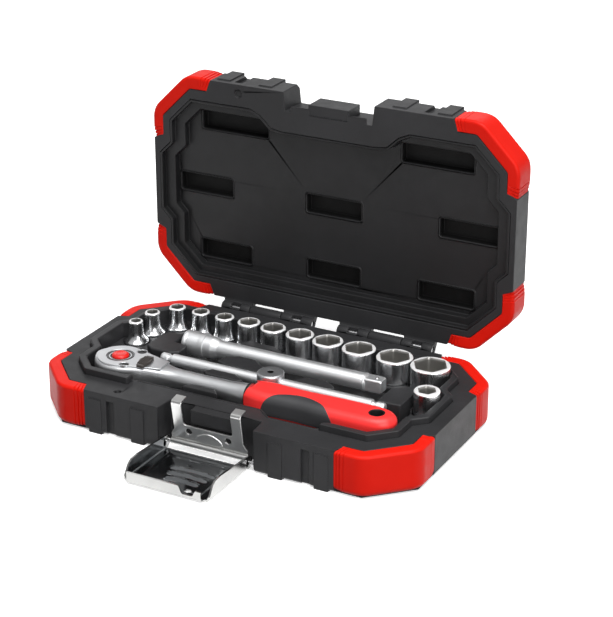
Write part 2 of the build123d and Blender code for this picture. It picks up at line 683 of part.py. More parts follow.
with BuildPart() as ratchet_body:
    with BuildSketch(Plane.XY.offset(head_bottom)):
        add(head_plan(0))
    extrude(amount=head_top - head_bottom)
    # shank and the tang inside the grip
    with BuildSketch(Plane.YZ.offset(-44)):
        with Locations((ratchet_y, ratchet_z)):
            Circle(4.4)
    with BuildSketch(Plane.YZ.offset(-10)):
        with Locations((ratchet_y, ratchet_z)):
            Circle(4.6)
    with BuildSketch(Plane.YZ.offset(grip_start)):
        with Locations((ratchet_y, ratchet_z)):
            Circle(5.6)
    loft()
    cross_rod(ratchet_y, ratchet_z, 3.5, grip_start - 1, 60.0)
    # cavity for the gear and the pawl, bearing for the drive, seat for the cover
    post(head_x, ratchet_y, gear_radius + 0.5, head_bottom + 2.0, head_top, Mode.SUBTRACT)
    post(head_x, ratchet_y, collar_radius + running_gap, head_bottom, head_top, Mode.SUBTRACT)
    with BuildSketch(Plane.XY.offset(head_bottom + 2.0)):
        with Locations((-51.0, ratchet_y)):
            Rectangle(13.0, 9.0)
    extrude(amount=head_top - head_bottom - 2.0, mode=Mode.SUBTRACT)
    with BuildSketch(Plane.XY.offset(cover_z)):
        add(head_plan(-0.9))
        with Locations((-36.0, ratchet_y)):
            Rectangle(12.0, 12.0, mode=Mode.SUBTRACT)
    extrude(amount=cover_thickness, mode=Mode.SUBTRACT)
    for x, y in screw_places:
        post(x, y, 1.0, cover_z - screw_depth, cover_z, Mode.SUBTRACT)
save(ratchet_body.part, "ratchet_body")

screw_head_radius = 1.9
with BuildPart() as ratchet_cover:
    with BuildSketch(Plane.XY.offset(cover_z)):
        add(head_plan(-1.0))
        with Locations((-36.0, ratchet_y)):
            Rectangle(12.2, 12.0, mode=Mode.SUBTRACT)
        with Locations((head_x, ratchet_y)):
            Circle(collar_radius + running_gap, mode=Mode.SUBTRACT)
        with Locations((selector_x, ratchet_y)):
            Circle(2.0 + running_gap, mode=Mode.SUBTRACT)
    extrude(amount=cover_thickness)
    for x, y in screw_places:
        post(x, y, 1.0, cover_z, head_top, Mode.SUBTRACT)
        post(x, y, screw_head_radius, head_top - 0.9, head_top, Mode.SUBTRACT)
save(ratchet_cover.part, "ratchet_cover")

with BuildPart() as cover_screws:
    for x, y in screw_places:
        post(x, y, 1.0, cover_z - screw_depth, head_top - 0.2)
        post(x, y, screw_head_radius, head_top - 0.9, head_top - 0.2)
        with BuildSketch(Plane.XY.offset(head_top - 0.8)) as drive:
            with Locations((x, y)):
                RegularPolygon(0.9, 6)
        extrude(drive.sketch, amount=1.0, mode=Mode.SUBTRACT)
save(cover_screws.part, "cover_screws")

gear_low = head_bottom + 2.1
gear_high = cover_z - 0.3
with BuildPart() as drive_gear:
    with BuildSketch(Plane.XY.offset(gear_low)):
        with Locations((head_x, ratchet_y)):
            Circle(gear_radius - 0.5)
            with PolarLocations(gear_radius - 0.5, gear_teeth):
                RegularPolygon(0.5, 4)
    extrude(amount=gear_high - gear_low)
    post(head_x, ratchet_y, collar_radius, gear_high - 1, head_top - 0.2)
    post(head_x, ratchet_y, collar_radius, head_bottom, gear_low + 1)
    with BuildSketch(Plane.XY.offset(head_bottom - 7.5)) as square:
        with Locations((head_x, ratchet_y)):
            RectangleRounded(drive_square, drive_square, 0.7)
    extrude(square.sketch, amount=8.5)
    chamfer(drive_gear.faces().sort_by(Axis.Z)[0].edges(), 0.5)
    post(head_x, ratchet_y, button_hole, button_seat, head_top, Mode.SUBTRACT)
    post(head_x, ratchet_y, stem_radius + running_gap, head_bottom - 4.0, button_seat,
         Mode.SUBTRACT)
    cross_rod(ratchet_y, head_bottom - 3.6, 1.3, head_x, head_x + 4,
              Mode.SUBTRACT)
save(drive_gear.part, "drive_gear")

with BuildPart() as drive_ball:
    with Locations((head_x + 2.6, ratchet_y, head_bottom - 3.6)):
        Sphere(1.0)
save(drive_ball.part, "drive_ball")

with BuildPart() as release_button:
    post(head_x, ratchet_y, stem_radius, head_bottom - 2.0, button_seat + 2.3)
    post(head_x, ratchet_y, button_radius, button_seat + 2.2, head_top + 1.1)
    fillet(release_button.faces().sort_by(Axis.Z)[-1].edges(), 1.5)
save(release_button.part, "release_button")

# The spring is drawn as a short stack of turns round the stem.
with BuildPart() as button_spring:
    for turn in range(3):
        with BuildSketch(Plane.XY.offset(button_seat + 0.05 + 0.75 * turn)) as coil:
            with Locations((head_x, ratchet_y)):
                Circle(2.6)
                Circle(2.0, mode=Mode.SUBTRACT)
        extrude(coil.sketch, amount=0.6)
save(button_spring.part, "button_spring")

selector_low = head_bottom + 2.2
with BuildPart() as reversing_lever:
    with BuildSketch(Plane.XY.offset(head_top + 0.05)):
        with BuildLine():
            Polyline((selector_x - 2.6, ratchet_y - 2.6), (selector_x - 4.0, ratchet_y + 1.6),
                     (selector_x - 2.2, ratchet_y + 3.4), (selector_x + 2.6, ratchet_y + 2.4),
                     (selector_x + 2.9, ratchet_y - 3.4), (selector_x + 0.4, ratchet_y - 5.2),
                     close=True)
        make_face()
    extrude(amount=1.35)
    post(selector_x, ratchet_y, 2.0, gear_high, head_top + 0.2)
save(reversing_lever.part, "reversing_lever")

with BuildPart() as pawl:
    with BuildSketch(Plane.XY.offset(selector_low)):
        with Locations((selector_x, ratchet_y)):
            Circle(2.4)
        with BuildLine():
            Polyline((selector_x - 5.4, ratchet_y - 2.4), (selector_x, ratchet_y - 2.4),
                     (selector_x, ratchet_y + 2.4), (selector_x - 5.4, ratchet_y + 2.4),
                     (selector_x - 6.2, ratchet_y), close=True)
        make_face()
    extrude(amount=gear_high - selector_low)
save(pawl.part, "pawl")

# ---------------------------------------------------------------- ratchet grip
with BuildPart() as grip_body:
    with BuildSketch(Plane.XY.offset(ratchet_z - grip_half_height)):
        with BuildLine():
            for side in (-1, 1):
                Spline((grip_start, ratchet_y + side * 6.6),
                       (15.0, ratchet_y + side * grip_half_width),
                       (32.0, ratchet_y + side * 7.6),
                       (50.0, ratchet_y + side * grip_half_width),
                       (68.0, ratchet_y + side * 8.2),
                       tangents=((1, side * 0.3), (1, -side * 0.06)))
            Spline((68.0, ratchet_y - 8.2), (grip_end, ratchet_y), (68.0, ratchet_y + 8.2),
                   tangents=((1, 0.06), (-1, 0.06)))
            Line((grip_start, ratchet_y + 6.6), (grip_start, ratchet_y - 6.6))
        make_face()
    extrude(amount=2 * grip_half_height)
    fillet(grip_body.faces().filter_by(Plane.XY).edges(), 3.6)
    cross_rod(ratchet_y, ratchet_z, 3.5, grip_start, 60.0, Mode.SUBTRACT)
    post(hang_hole_x, ratchet_y, hang_hole_radius, 0, 30, Mode.SUBTRACT)

inset_centre = (35.0, ratchet_y - 17.0)
with BuildPart() as grip_inset:
    add(grip_body.part)
    with BuildSketch(Plane.XY):
        with Locations(inset_centre):
            Ellipse(20.0, 17.0)
    extrude(amount=40, mode=Mode.INTERSECT)
save(grip_inset.part, "grip_inset")

with BuildPart() as grip_shell:
    add(grip_body.part)
    with BuildSketch(Plane.XY):
        with Locations(inset_centre):
            Ellipse(20.0, 17.0)
    extrude(amount=40, mode=Mode.SUBTRACT)
save(grip_shell.part, "grip_shell")
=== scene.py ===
"""Looks for the socket wrench set in its case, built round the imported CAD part.

Lengths are millimetres in the frame shared with the CAD, and every mesh is scaled to metres when
it is made.  Only the patterns of the materials, the floor, the lights and the camera are in metres.
The lid's own pieces are described with the lid shut and then turned open, as in the CAD.
"""

import json
import math

import bmesh
import bpy
from mathutils import Matrix, Vector
from mathutils.geometry import delaunay_2d_cdt


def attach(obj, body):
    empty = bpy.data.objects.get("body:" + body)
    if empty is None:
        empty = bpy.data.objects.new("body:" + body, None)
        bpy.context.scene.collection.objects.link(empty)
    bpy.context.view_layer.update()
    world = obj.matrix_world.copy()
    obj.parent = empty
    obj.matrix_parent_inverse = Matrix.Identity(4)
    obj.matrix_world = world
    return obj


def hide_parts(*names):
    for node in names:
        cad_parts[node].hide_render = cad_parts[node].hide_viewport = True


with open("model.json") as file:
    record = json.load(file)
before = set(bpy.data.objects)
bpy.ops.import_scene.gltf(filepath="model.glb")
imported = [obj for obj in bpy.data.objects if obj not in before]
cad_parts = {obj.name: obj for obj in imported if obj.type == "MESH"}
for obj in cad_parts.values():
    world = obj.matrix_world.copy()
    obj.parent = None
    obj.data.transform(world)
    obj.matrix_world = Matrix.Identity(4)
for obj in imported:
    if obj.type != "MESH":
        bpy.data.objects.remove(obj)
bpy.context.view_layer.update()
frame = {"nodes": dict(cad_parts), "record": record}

MM = 0.001
SEGMENTS = 96

# ---------------------------------------------------------------- places taken from the CAD
rim_z = 20.5  # the base's rim
lid_z = 20.7  # the shut lid's rim
hinge_y = 59.2
hinge_z = 19.5

ratchet_y = -25.0
ratchet_z = 20.2
head_x = -63.0
head_bottom = 13.0
head_radius = 12.0
body_top = 25.0
head_top = 25.4  # the cover plate's top
selector_x = -47.5
bars_left = -49.5  # left end of the extension and of the T-bar
extension_y = 11.5
extension_z = 20.5
bar_y = -10.8
bar_z = 21.6
slider_x = 8.3
lever_y = -54.0
lever_z = 3.8
claw_y = -51.833
claw_z = 4.182
drive_size = 6.35
drive_half = drive_size / 2
drive_opening = 3.225  # half width of the square hole that takes the drive


# ---------------------------------------------------------------- materials
def new_material(name, color, roughness, metallic=0.0, specular=0.5):
    """A Principled material and the tools to add nodes to it."""
    material = bpy.data.materials.new(name)
    material.use_nodes = True
    tree = material.node_tree
    shader = tree.nodes["Principled BSDF"]
    shader.inputs["Base Color"].default_value = (*color, 1)
    shader.inputs["Roughness"].default_value = roughness
    shader.inputs["Metallic"].default_value = metallic
    shader.inputs["Specular IOR Level"].default_value = specular
    return material, tree, shader


def noise(tree, scale, detail=3.0, roughness=0.55, stretch=(1, 1, 1)):
    """A noise pattern fixed to the object; scale is cycles per metre."""
    place = tree.nodes.new("ShaderNodeTexCoord")
    mapping = tree.nodes.new("ShaderNodeMapping")
    mapping.inputs["Scale"].default_value = stretch
    pattern = tree.nodes.new("ShaderNodeTexNoise")
    pattern.inputs["Scale"].default_value = scale
    pattern.inputs["Detail"].default_value = detail
    pattern.inputs["Roughness"].default_value = roughness
    tree.links.new(place.outputs["Object"], mapping.inputs["Vector"])
    tree.links.new(mapping.outputs["Vector"], pattern.inputs["Vector"])
    return pattern.outputs["Fac"]


def ranged(tree, value, low, high):
    """The pattern's middle range mapped to low .. high."""
    node = tree.nodes.new("ShaderNodeMapRange")
    node.inputs["From Min"].default_value = 0.3
    node.inputs["From Max"].default_value = 0.7
    node.inputs["To Min"].default_value = low
    node.inputs["To Max"].default_value = high
    tree.links.new(value, node.inputs["Value"])
    return node.outputs["Result"]


def blended(tree, factor, first, second):
    """A colour between first and second."""
    node = tree.nodes.new("ShaderNodeMix")
    node.data_type = "RGBA"
    node.inputs["A"].default_value = (*first, 1)
    node.inputs["B"].default_value = (*second, 1)
    tree.links.new(factor, node.inputs["Factor"])
    return node.outputs["Result"]


def bumped(tree, shader, heights):
    """Chain bumps: a list of (pattern, depth in metres)."""
    normal = None
    for value, depth in heights:
        node = tree.nodes.new("ShaderNodeBump")
        node.inputs["Strength"].default_value = 1.0
        node.inputs["Distance"].default_value = depth
        tree.links.new(value, node.inputs["Height"])
        if normal is not None:
            tree.links.new(normal, node.inputs["Normal"])
        normal = node.outputs["Normal"]
    tree.links.new(normal, shader.inputs["Normal"])


def plastic(name, dark, light, roughness, grain, specular=0.5, grain_scale=2600.0):
    """Moulded plastic with faint flow marks, uneven gloss and a fine grain, its depth in metres."""
    material, tree, shader = new_material(name, light, roughness, 0.0, specular)
    flow = noise(tree, 28.0, 4.0, 0.6)
    fine = noise(tree, grain_scale, 2.0, 0.5)
    scuff = noise(tree, 160.0, 5.0, 0.65)
    color = blended(tree, ranged(tree, flow, 0.0, 1.0), dark, light)
    tree.links.new(color, shader.inputs["Base Color"])
    gloss = ranged(tree, scuff, roughness - 0.05, roughness + 0.06)
    tree.links.new(gloss, shader.inputs["Roughness"])
    bumped(tree, shader, [(fine, grain), (scuff, grain * 1.5)])
    return material


def metal(name, dark, light, roughness, spread, grain, stretch=(1, 1, 1), scale=900.0,
          anisotropy=0.0):
    """Plated or brushed steel: tint and gloss wander a little, with fine lines, grain metres deep."""
    material, tree, shader = new_material(name, light, roughness, 1.0)
    shader.inputs["Anisotropic"].default_value = anisotropy
    shader.inputs["Anisotropic Rotation"].default_value = 0.25
    cloud = noise(tree, 60.0, 3.0, 0.5)
    lines = noise(tree, scale, 3.0, 0.6, stretch)
    color = blended(tree, ranged(tree, cloud, 0.0, 1.0), dark, light)
    tree.links.new(color, shader.inputs["Base Color"])
    gloss = ranged(tree, lines, max(0.02, roughness - spread), roughness + spread)
    tree.links.new(gloss, shader.inputs["Roughness"])
    bumped(tree, shader, [(lines, grain)])
    return material


# Dark and light tone, roughness, depth of the grain, specular level and scale of the grain.
case_plastic = plastic("case_plastic", (0.024, 0.024, 0.025), (0.034, 0.034, 0.036), 0.44, 3e-5, 0.17)
tray_plastic = plastic("tray_plastic", (0.022, 0.022, 0.023), (0.032, 0.032, 0.034), 0.42, 3e-5, 0.26)
liner_plastic = plastic("liner_plastic", (0.011, 0.011, 0.0115), (0.016, 0.016, 0.017), 0.40, 3e-5, 0.22)
guard_red = plastic("guard_red", (0.66, 0.010, 0.004), (0.74, 0.014, 0.006), 0.42, 1.2e-5, 0.12, 1900.0)
grip_red = plastic("grip_red", (0.93, 0.034, 0.032), (0.98, 0.040, 0.038), 0.38, 1.0e-5, 0.45, 1700.0)
button_red = plastic("button_red", (0.66, 0.012, 0.009), (0.74, 0.018, 0.012), 0.25, 0.6e-5)
grip_rubber = plastic("grip_rubber", (0.030, 0.030, 0.032), (0.045, 0.045, 0.048), 0.55, 4e-5)
lever_plastic = plastic("lever_plastic", (0.036, 0.030, 0.027), (0.056, 0.048, 0.043), 0.40, 2e-5)
screw_black = plastic("screw_black", (0.010, 0.010, 0.010), (0.016, 0.016, 0.016), 0.40, 1e-5, 0.30)
# near-black used only as painted shade: lining of the lid pockets, the slider's hole and the gaps round
# the drive
painted_shade_black = plastic("painted_shade_black", (0.003, 0.003, 0.003), (0.005, 0.005, 0.005), 0.6, 3e-5, 0.15)
# Dark and light tone, roughness and its spread, depth of the lines, their stretch and their scale.
chrome = metal("chrome", (0.84, 0.85, 0.86), (0.92, 0.93, 0.94), 0.20, 0.02, 0.05e-5,
               anisotropy=0.5)
bar_chrome = metal("bar_chrome", (0.88, 0.89, 0.90), (0.96, 0.97, 0.98), 0.48, 0.03, 0.1e-5,
                   (0.3, 1, 1), 2600.0)
satin_chrome = metal("satin_chrome", (0.62, 0.63, 0.65), (0.74, 0.75, 0.76), 0.42, 0.03, 0.1e-5,
                     (0.4, 1, 1), 2600.0)
latch_steel = metal("latch_steel", (0.38, 0.38, 0.375), (0.46, 0.46, 0.45), 0.20, 0.03, 0.1e-5)
latch_inner = metal("latch_inner", (0.20, 0.21, 0.22), (0.30, 0.31, 0.32), 0.13, 0.02, 0.1e-5)
claw_steel = metal("claw_steel", (0.62, 0.62, 0.61), (0.74, 0.74, 0.73), 0.30, 0.02, 0.1e-5)
bore_steel = metal("bore_steel", (0.42, 0.41, 0.39), (0.54, 0.53, 0.51), 0.42, 0.04, 0.3e-5)
rim_steel = metal("rim_steel", (0.97, 0.97, 0.97), (1.0, 1.0, 1.0), 0.75, 0.03, 0.1e-5)
collar_steel = metal("collar_steel", (0.10, 0.10, 0.10), (0.16, 0.16, 0.16), 0.35, 0.04, 0.1e-5)
plain_steel = metal("plain_steel", (0.45, 0.45, 0.46), (0.62, 0.62, 0.63), 0.25, 0.06, 0.6e-5)

slot_materials = {
    "case_plastic": case_plastic, "tray_plastic": tray_plastic, "liner_plastic": liner_plastic,
    "guard_red": guard_red, "plain_steel": plain_steel, "latch_steel": latch_steel,
    "tool_chrome": chrome, "ball_steel": plain_steel, "satin_chrome": satin_chrome,
    "button_red": button_red, "lever_plastic": lever_plastic, "grip_red": grip_red,
    "grip_rubber": grip_rubber}


# ---------------------------------------------------------------- mesh tools
def opened(point):
    """A point of the shut lid, turned to where it is with the lid open."""
    x, y, z = point
    return (x, hinge_y + z - hinge_z, hinge_z - (y - hinge_y))


def same(point):
    """A point that stays where it is."""
    return point


def add_object(name, data):
    """A new object in the scene."""
    thing = bpy.data.objects.new(name, data)
    bpy.context.collection.objects.link(thing)
    return thing


def piece(name, vertices, faces, material, body, slot, nodes=(), angle=38.0, turn=same,
          others=()):
    """Make one object from millimetre points, smooth it, and tie it to its CAD body.

    Each row of others is a further material and the number of the first face that has it.
    """
    mesh = bpy.data.meshes.new(name)
    mesh.from_pydata([tuple(c * MM for c in turn(v)) for v in vertices], [], faces)
    mesh.materials.append(material)
    for other, first in others:
        mesh.materials.append(other)
        for face in mesh.polygons[first:]:
            face.material_index += 1
    work = bmesh.new()
    work.from_mesh(mesh)
    bmesh.ops.remove_doubles(work, verts=work.verts, dist=2e-6)
    bmesh.ops.dissolve_degenerate(work, edges=work.edges, dist=1e-6)
    bmesh.ops.recalc_face_normals(work, faces=work.faces)
    work.to_mesh(mesh)
    work.free()
    mesh.shade_smooth()
    mesh.set_sharp_from_angle(angle=math.radians(angle))
    thing = add_object(name, mesh)
    weighted = thing.modifiers.new("weighted", "WEIGHTED_NORMAL")
    weighted.keep_sharp = True
    weighted.weight = 80
    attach(thing, body)
    if nodes:
        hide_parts(*nodes)
    return thing


def polygon_radius(angle, sides, flat):
    """Distance from the centre to the side of a regular polygon with half width flat."""
    sector = 2 * math.pi / sides
    shift = sector / 2 if sides == 4 else 0.0
    off = (angle + shift) % sector - sector / 2
    return flat / math.cos(off)


# Distance from the centre to a blunted corner, over the half width across the flats.
HEXAGON_CORNER = 1.125
SQUARE_CORNER = 1.30


def ring(shape, size):
    """Plane points of one ring: a circle, or a hexagon or square with blunted corners."""
    points = []
    for index in range(SEGMENTS):
        angle = 2 * math.pi * index / SEGMENTS
        if shape == "circle":
            radius = size
        elif shape == "hexagon":
            radius = min(polygon_radius(angle, 6, size), size * HEXAGON_CORNER)
        else:
            radius = min(polygon_radius(angle, 4, size), size * SQUARE_CORNER)
        points.append((radius * math.cos(angle), radius * math.sin(angle)))
    return points


def quarter(steps):
    """Sine and cosine of each step of a quarter turn."""
    angles = [math.pi / 2 * step / steps for step in range(steps + 1)]
    return [(math.sin(angle), math.cos(angle)) for angle in angles]


def strips(rows, count, closed=True):
    """Four-sided faces that join each row of count points to the next row."""
    faces = []
    for row in range(rows - 1):
        low, high = row * count, (row + 1) * count
        for index in range(count if closed else count - 1):
            following = (index + 1) % count
            faces.append((low + index, low + following, high + following, high + index))
    return faces


# Directions of a ring's two plane axes and of its height.
AXES = {"+Z": ((1, 0, 0), (0, 1, 0), (0, 0, 1)),
        "+X": ((0, 1, 0), (0, 0, 1), (1, 0, 0))}


def turned(rings, origin, axis="+Z"):
    """Vertices and faces of stacked rings (shape, size, height); size 0 closes an end.

    A shape may also be a list of plane points, and then its size isn't used.
    """
    first, second, third = (Vector(v) for v in AXES[axis])
    origin = Vector(origin)
    vertices = []
    for shape, size, height in rings:
        for a, b in (shape if isinstance(shape, list) else ring(shape, size)):
            vertices.append(tuple(origin + first * a + second * b + third * height))
    return vertices, strips(len(rings), SEGMENTS)


def circles(*pairs):
    """Round rings for turned, from pairs of radius and height."""
    return [("circle", radius, height) for radius, height in pairs]


def joined(*solids):
    """Several (vertices, faces) as one."""
    vertices, faces = [], []
    for more_vertices, more_faces in solids:
        start = len(vertices)
        vertices += more_vertices
        faces += [tuple(i + start for i in face) for face in more_faces]
    return vertices, faces


def round_corners(points, radius, steps=6, closed=True):
    """A polygon with its corners rounded; radius may be a number or one for each corner."""
    rounded = []
    count = len(points)
    for index, point in enumerate(points):
        if not closed and index in (0, count - 1):
            rounded.append(tuple(point))
            continue
        here = Vector(point)
        before = Vector(points[index - 1]) - here
        after = Vector(points[(index + 1) % count]) - here
        want = radius[index] if isinstance(radius, (list, tuple)) else radius
        half = before.angle(after) / 2
        if want <= 0 or abs(half - math.pi / 2) < 1e-3:
            rounded.append(tuple(point))
            continue
        reach = min(want / math.tan(half), before.length * 0.49, after.length * 0.49)
        size = reach * math.tan(half)
        middle = (before.normalized() + after.normalized()).normalized()
        centre = here + middle * (size / math.sin(half))
        start = here + before.normalized() * reach - centre
        end = here + after.normalized() * reach - centre
        sweep = start.angle_signed(end)
        for step in range(steps + 1):
            rounded.append(tuple(centre + Matrix.Rotation(-sweep * step / steps, 2) @ start))
    return rounded


def inset(points, amount):
    """A closed counter-clockwise outline moved inwards by amount along its corner bisectors."""
    moved = []
    count = len(points)
    for index in range(count):
        here = Vector(points[index])
        before = (here - Vector(points[index - 1])).normalized()
        after = (Vector(points[(index + 1) % count]) - here).normalized()
        first, second = Vector((-before.y, before.x)), Vector((-after.y, after.x))
        both = first + second
        scale = 2 / max(both.length_squared, 0.5)
        moved.append(tuple(here + both * scale * amount))
    return moved


def facing(points):
    """The outline in counter-clockwise order."""
    area = sum(a[0] * b[1] - b[0] * a[1] for a, b in zip(points, points[1:] + points[:1]))
    return list(points) if area > 0 else list(reversed(points))


def circle(x, y, radius, count=32):
    """A closed circle outline."""
    return [(x + radius * math.cos(2 * math.pi * i / count),
             y + radius * math.sin(2 * math.pi * i / count)) for i in range(count)]


def filled(outlines, height):
    """A flat face inside the first outline and outside the others, exactly triangulated."""
    points, edges = [], []
    for outline in outlines:
        start = len(points)
        points += [Vector(p) for p in outline]
        edges += [(start + i, start + (i + 1) % len(outline)) for i in range(len(outline))]
    made, _, faces, _, _, _ = delaunay_2d_cdt(points, edges, [], 0, 1e-7)
    kept = []
    for face in faces:
        centre = sum((made[i] for i in face), Vector((0, 0))) / len(face)
        if inside(centre, outlines[0]) and not any(inside(centre, o) for o in outlines[1:]):
            kept.append(tuple(face))
    return [(p.x, p.y, height) for p in made], kept


def inside(point, outline):
    """Whether a plane point is inside a closed outline."""
    within = False
    x, y = point
    for (ax, ay), (bx, by) in zip(outline, outline[1:] + outline[:1]):
        if (ay > y) != (by > y) and x < (bx - ax) * (y - ay) / (by - ay) + ax:
            within = not within
    return within


def slab(outline, low, high, holes=(), top=0.5, bottom=0.0, steps=4, hole_edge=0.6):
    """A flat plate with rounded upper and lower edges and rounded edges round its holes."""
    outline = facing(outline)
    holes = [facing(hole) for hole in holes]
    levels = []
    if bottom:
        levels += [(bottom * (1 - sine), low + bottom * (1 - cosine)) for sine, cosine in quarter(steps)]
    else:
        levels.append((0.0, low))
    levels += [(top * (1 - cosine), high - top * (1 - sine)) for sine, cosine in quarter(steps)]
    solids = []
    share = min(1.0, hole_edge / max(top, bottom))
    for number, loop in enumerate([outline] + holes):
        vertices = []
        for amount, height in levels:
            if number:
                near = high if height > (low + high) / 2 else low
                amount, height = -amount * share, near + (height - near) * share
            vertices += [(x, y, height) for x, y in inset(loop, amount)]
        solids.append((vertices, strips(len(levels), len(loop))))
    for amount, height in (levels[0], levels[-1]):
        loops = [inset(outline, amount)] + [inset(hole, -amount * share) for hole in holes]
        solids.append(filled(loops, height))
    return joined(*solids)


def swept(sections, closed=True):
    """Skin over sections that have the same number of points; closed sections get end caps."""
    vertices = [tuple(p) for section in sections for p in section]
    count = len(sections[0])
    faces = strips(len(sections), count, closed)
    if closed:
        faces.append(tuple(range(count)))
        faces.append(tuple(range((len(sections) - 1) * count, len(sections) * count)))
    return vertices, faces


# ---------------------------------------------------------------- CAD nodes that stay
def soften(node, width):
    """Round the sharp edges of a CAD node with a bevel that keeps its flat faces evenly shaded."""
    shape = frame["nodes"][node]
    weld = shape.modifiers.new("weld", "WELD")
    weld.merge_threshold = 1e-6
    bevel = shape.modifiers.new("bevel", "BEVEL")
    bevel.width = width * MM
    bevel.segments = 3
    bevel.limit_method = "ANGLE"
    bevel.angle_limit = math.radians(32)
    bevel.use_clamp_overlap = False
    bevel.harden_normals = True


slots = {part["node"]: part["material_slot"] for part in frame["record"]["subparts"]}
for node, shape in frame["nodes"].items():
    shape.data.materials.clear()
    shape.data.materials.append(slot_materials[slots[node]])
for node, width in (("base_shell", 0.44), ("lid_shell", 0.44), ("tool_tray", 0.8),
                    ("lid_liner", 0.5)):
    soften(node, width)


# ---------------------------------------------------------------- corner guards
# Signs of x and y at each corner.
CORNERS = {"front_left": (-1, -1), "front_right": (1, -1),
           "rear_left": (-1, 1), "rear_right": (1, 1)}
# Steps at each end of a guard: distance from the end and how far the surface stands back.
STEPS = [(0.0, 0.95), (0.15, 0.75), (1.25, 0.75), (1.4, 1.05), (1.6, 1.05), (1.75, 0.42),
         (2.95, 0.42), (3.1, 0.8), (3.3, 0.8), (3.5, 0.12), (4.9, 0.12), (5.05, 0.4),
         (5.2, 0.4), (5.4, 0.0)]
# The right rear guard's outer and inner edge on the rim, and the rounding of each edge's corners.
GUARD_OUTER = [(63.0, 56.0), (77.0, 56.0), (96.0, 37.0), (96.0, 22.0)]
GUARD_INNER = [(65.4, 49.7), (74.8, 49.7), (90.3, 34.2), (90.3, 24.4)]
GUARD_OUTER_ROUND = 11.0
GUARD_INNER_ROUND = 2.5


def along(points):
    """Distance from the first point to each point of an open line."""
    total, lengths = 0.0, [0.0]
    for a, b in zip(points, points[1:]):
        total += (Vector(b) - Vector(a)).length
        lengths.append(total)
    return lengths


def at(points, lengths, distance):
    """The point at a distance along an open line."""
    distance = min(max(distance, 0.0), lengths[-1])
    for index in range(1, len(points)):
        if lengths[index] >= distance:
            part = (distance - lengths[index - 1]) / (lengths[index] - lengths[index - 1])
            return Vector(points[index - 1]).lerp(Vector(points[index]), part)
    return Vector(points[-1])


def set_back(distance, total):
    """How far the stepped ends of a guard stand back at a distance along it."""
    distance = min(distance, total - distance)
    for (start, first), (end, second) in zip(STEPS, STEPS[1:]):
        if distance < end:
            return first + (second - first) * (distance - start) / (end - start)
    return 0.0


def guard(corner, low, rim, body, prefix, turn):
    """A corner guard: band on the rim, curved corner face, stepped ends, rounded underside."""
    sign_x, sign_y = CORNERS[corner]
    outer = round_corners(GUARD_OUTER, GUARD_OUTER_ROUND, 10, False)
    inner = round_corners(GUARD_INNER, GUARD_INNER_ROUND, 10, False)
    outer_length, inner_length = along(outer), along(inner)
    total = outer_length[-1]
    stepped = [distance for distance, _ in STEPS]
    marks = sorted(set(stepped) | {total - distance for distance in stepped}
                   | {s for s in outer_length if stepped[-1] < s < total - stepped[-1]})
    up = 1 if rim > low else -1
    # depth of the corner face's plastic, height of the band's inner edge and its bevel,
    # rounding of the upper edge, and rounding of the underside
    depth, lip, bevel, edge, under = 2.8, 1.15, 0.3, 1.5, 2.6
    sections = []
    for mark in marks:
        start = at(outer, outer_length, mark)
        end = at(inner, inner_length, mark / total * inner_length[-1])
        wide = (end - start).length
        inward = (end - start) / wide
        back = set_back(mark, total)
        top, foot = rim - up * back * 0.75, back * 0.5
        shape = [(wide, rim - up * lip), (wide, rim - up * bevel), (wide - bevel, rim),
                 (edge + back + 1.0, rim if back < 0.02 else top)]
        for sine, cosine in quarter(5):
            shape.append((back + edge * (1 - sine), top - up * edge * (1 - cosine)))
        for sine, cosine in quarter(5):
            shape.append((back + under * 0.8 * (1 - cosine), low + up * (foot + under * (1 - sine))))
        shape += [(depth, low + up * foot), (depth, rim - up * lip)]
        section = []
        for distance, height in shape:
            place = start + inward * distance
            section.append((place.x * sign_x, place.y * sign_y, height))
        sections.append(section)
    vertices, faces = swept(sections)
    name = f"{prefix}_guard_{corner}"
    piece(name + "_skin", vertices, faces, guard_red, body, "guard_red", [name], 32.0, turn)


guard_low, guard_high = 1.2, lid_z + 15.4
for corner in CORNERS:
    guard(corner, guard_low, rim_z, "case_base", "base", same)
    guard(corner, guard_high, lid_z, "lid", "lid", opened)


# ---------------------------------------------------------------- sockets
# Name, width across the flats, outside diameter, and place.
sockets = [
    ("04", 4.0, 6.8, -76.3, 9.1), ("04_5", 4.5, 7.4, -75.0, 21.8), ("05", 5.0, 8.2, -67.6, 32.8),
    ("05_5", 5.5, 8.8, -54.6, 33.2), ("06", 6.0, 9.4, -41.3, 33.2), ("07", 7.0, 11.0, -28.0, 33.4),
    ("08", 8.0, 12.2, -14.5, 32.9), ("09", 9.0, 13.5, 0.3, 32.2), ("10", 10.0, 14.7, 15.4, 31.6),
    ("11", 11.0, 16.0, 32.0, 30.9), ("12", 12.0, 17.2, 50.7, 30.3), ("13", 13.0, 18.5, 69.1, 29.5)]
socket_bottom = 2.9
socket_length = 24.0
foot_top = 13.95  # where a slim socket's foot ends and its flare starts
flare_height = 4.85
# Number of rings, from the end of socket_rings, at which the rim and the bore start.
RIM_RINGS, BORE_RINGS = 8, 5


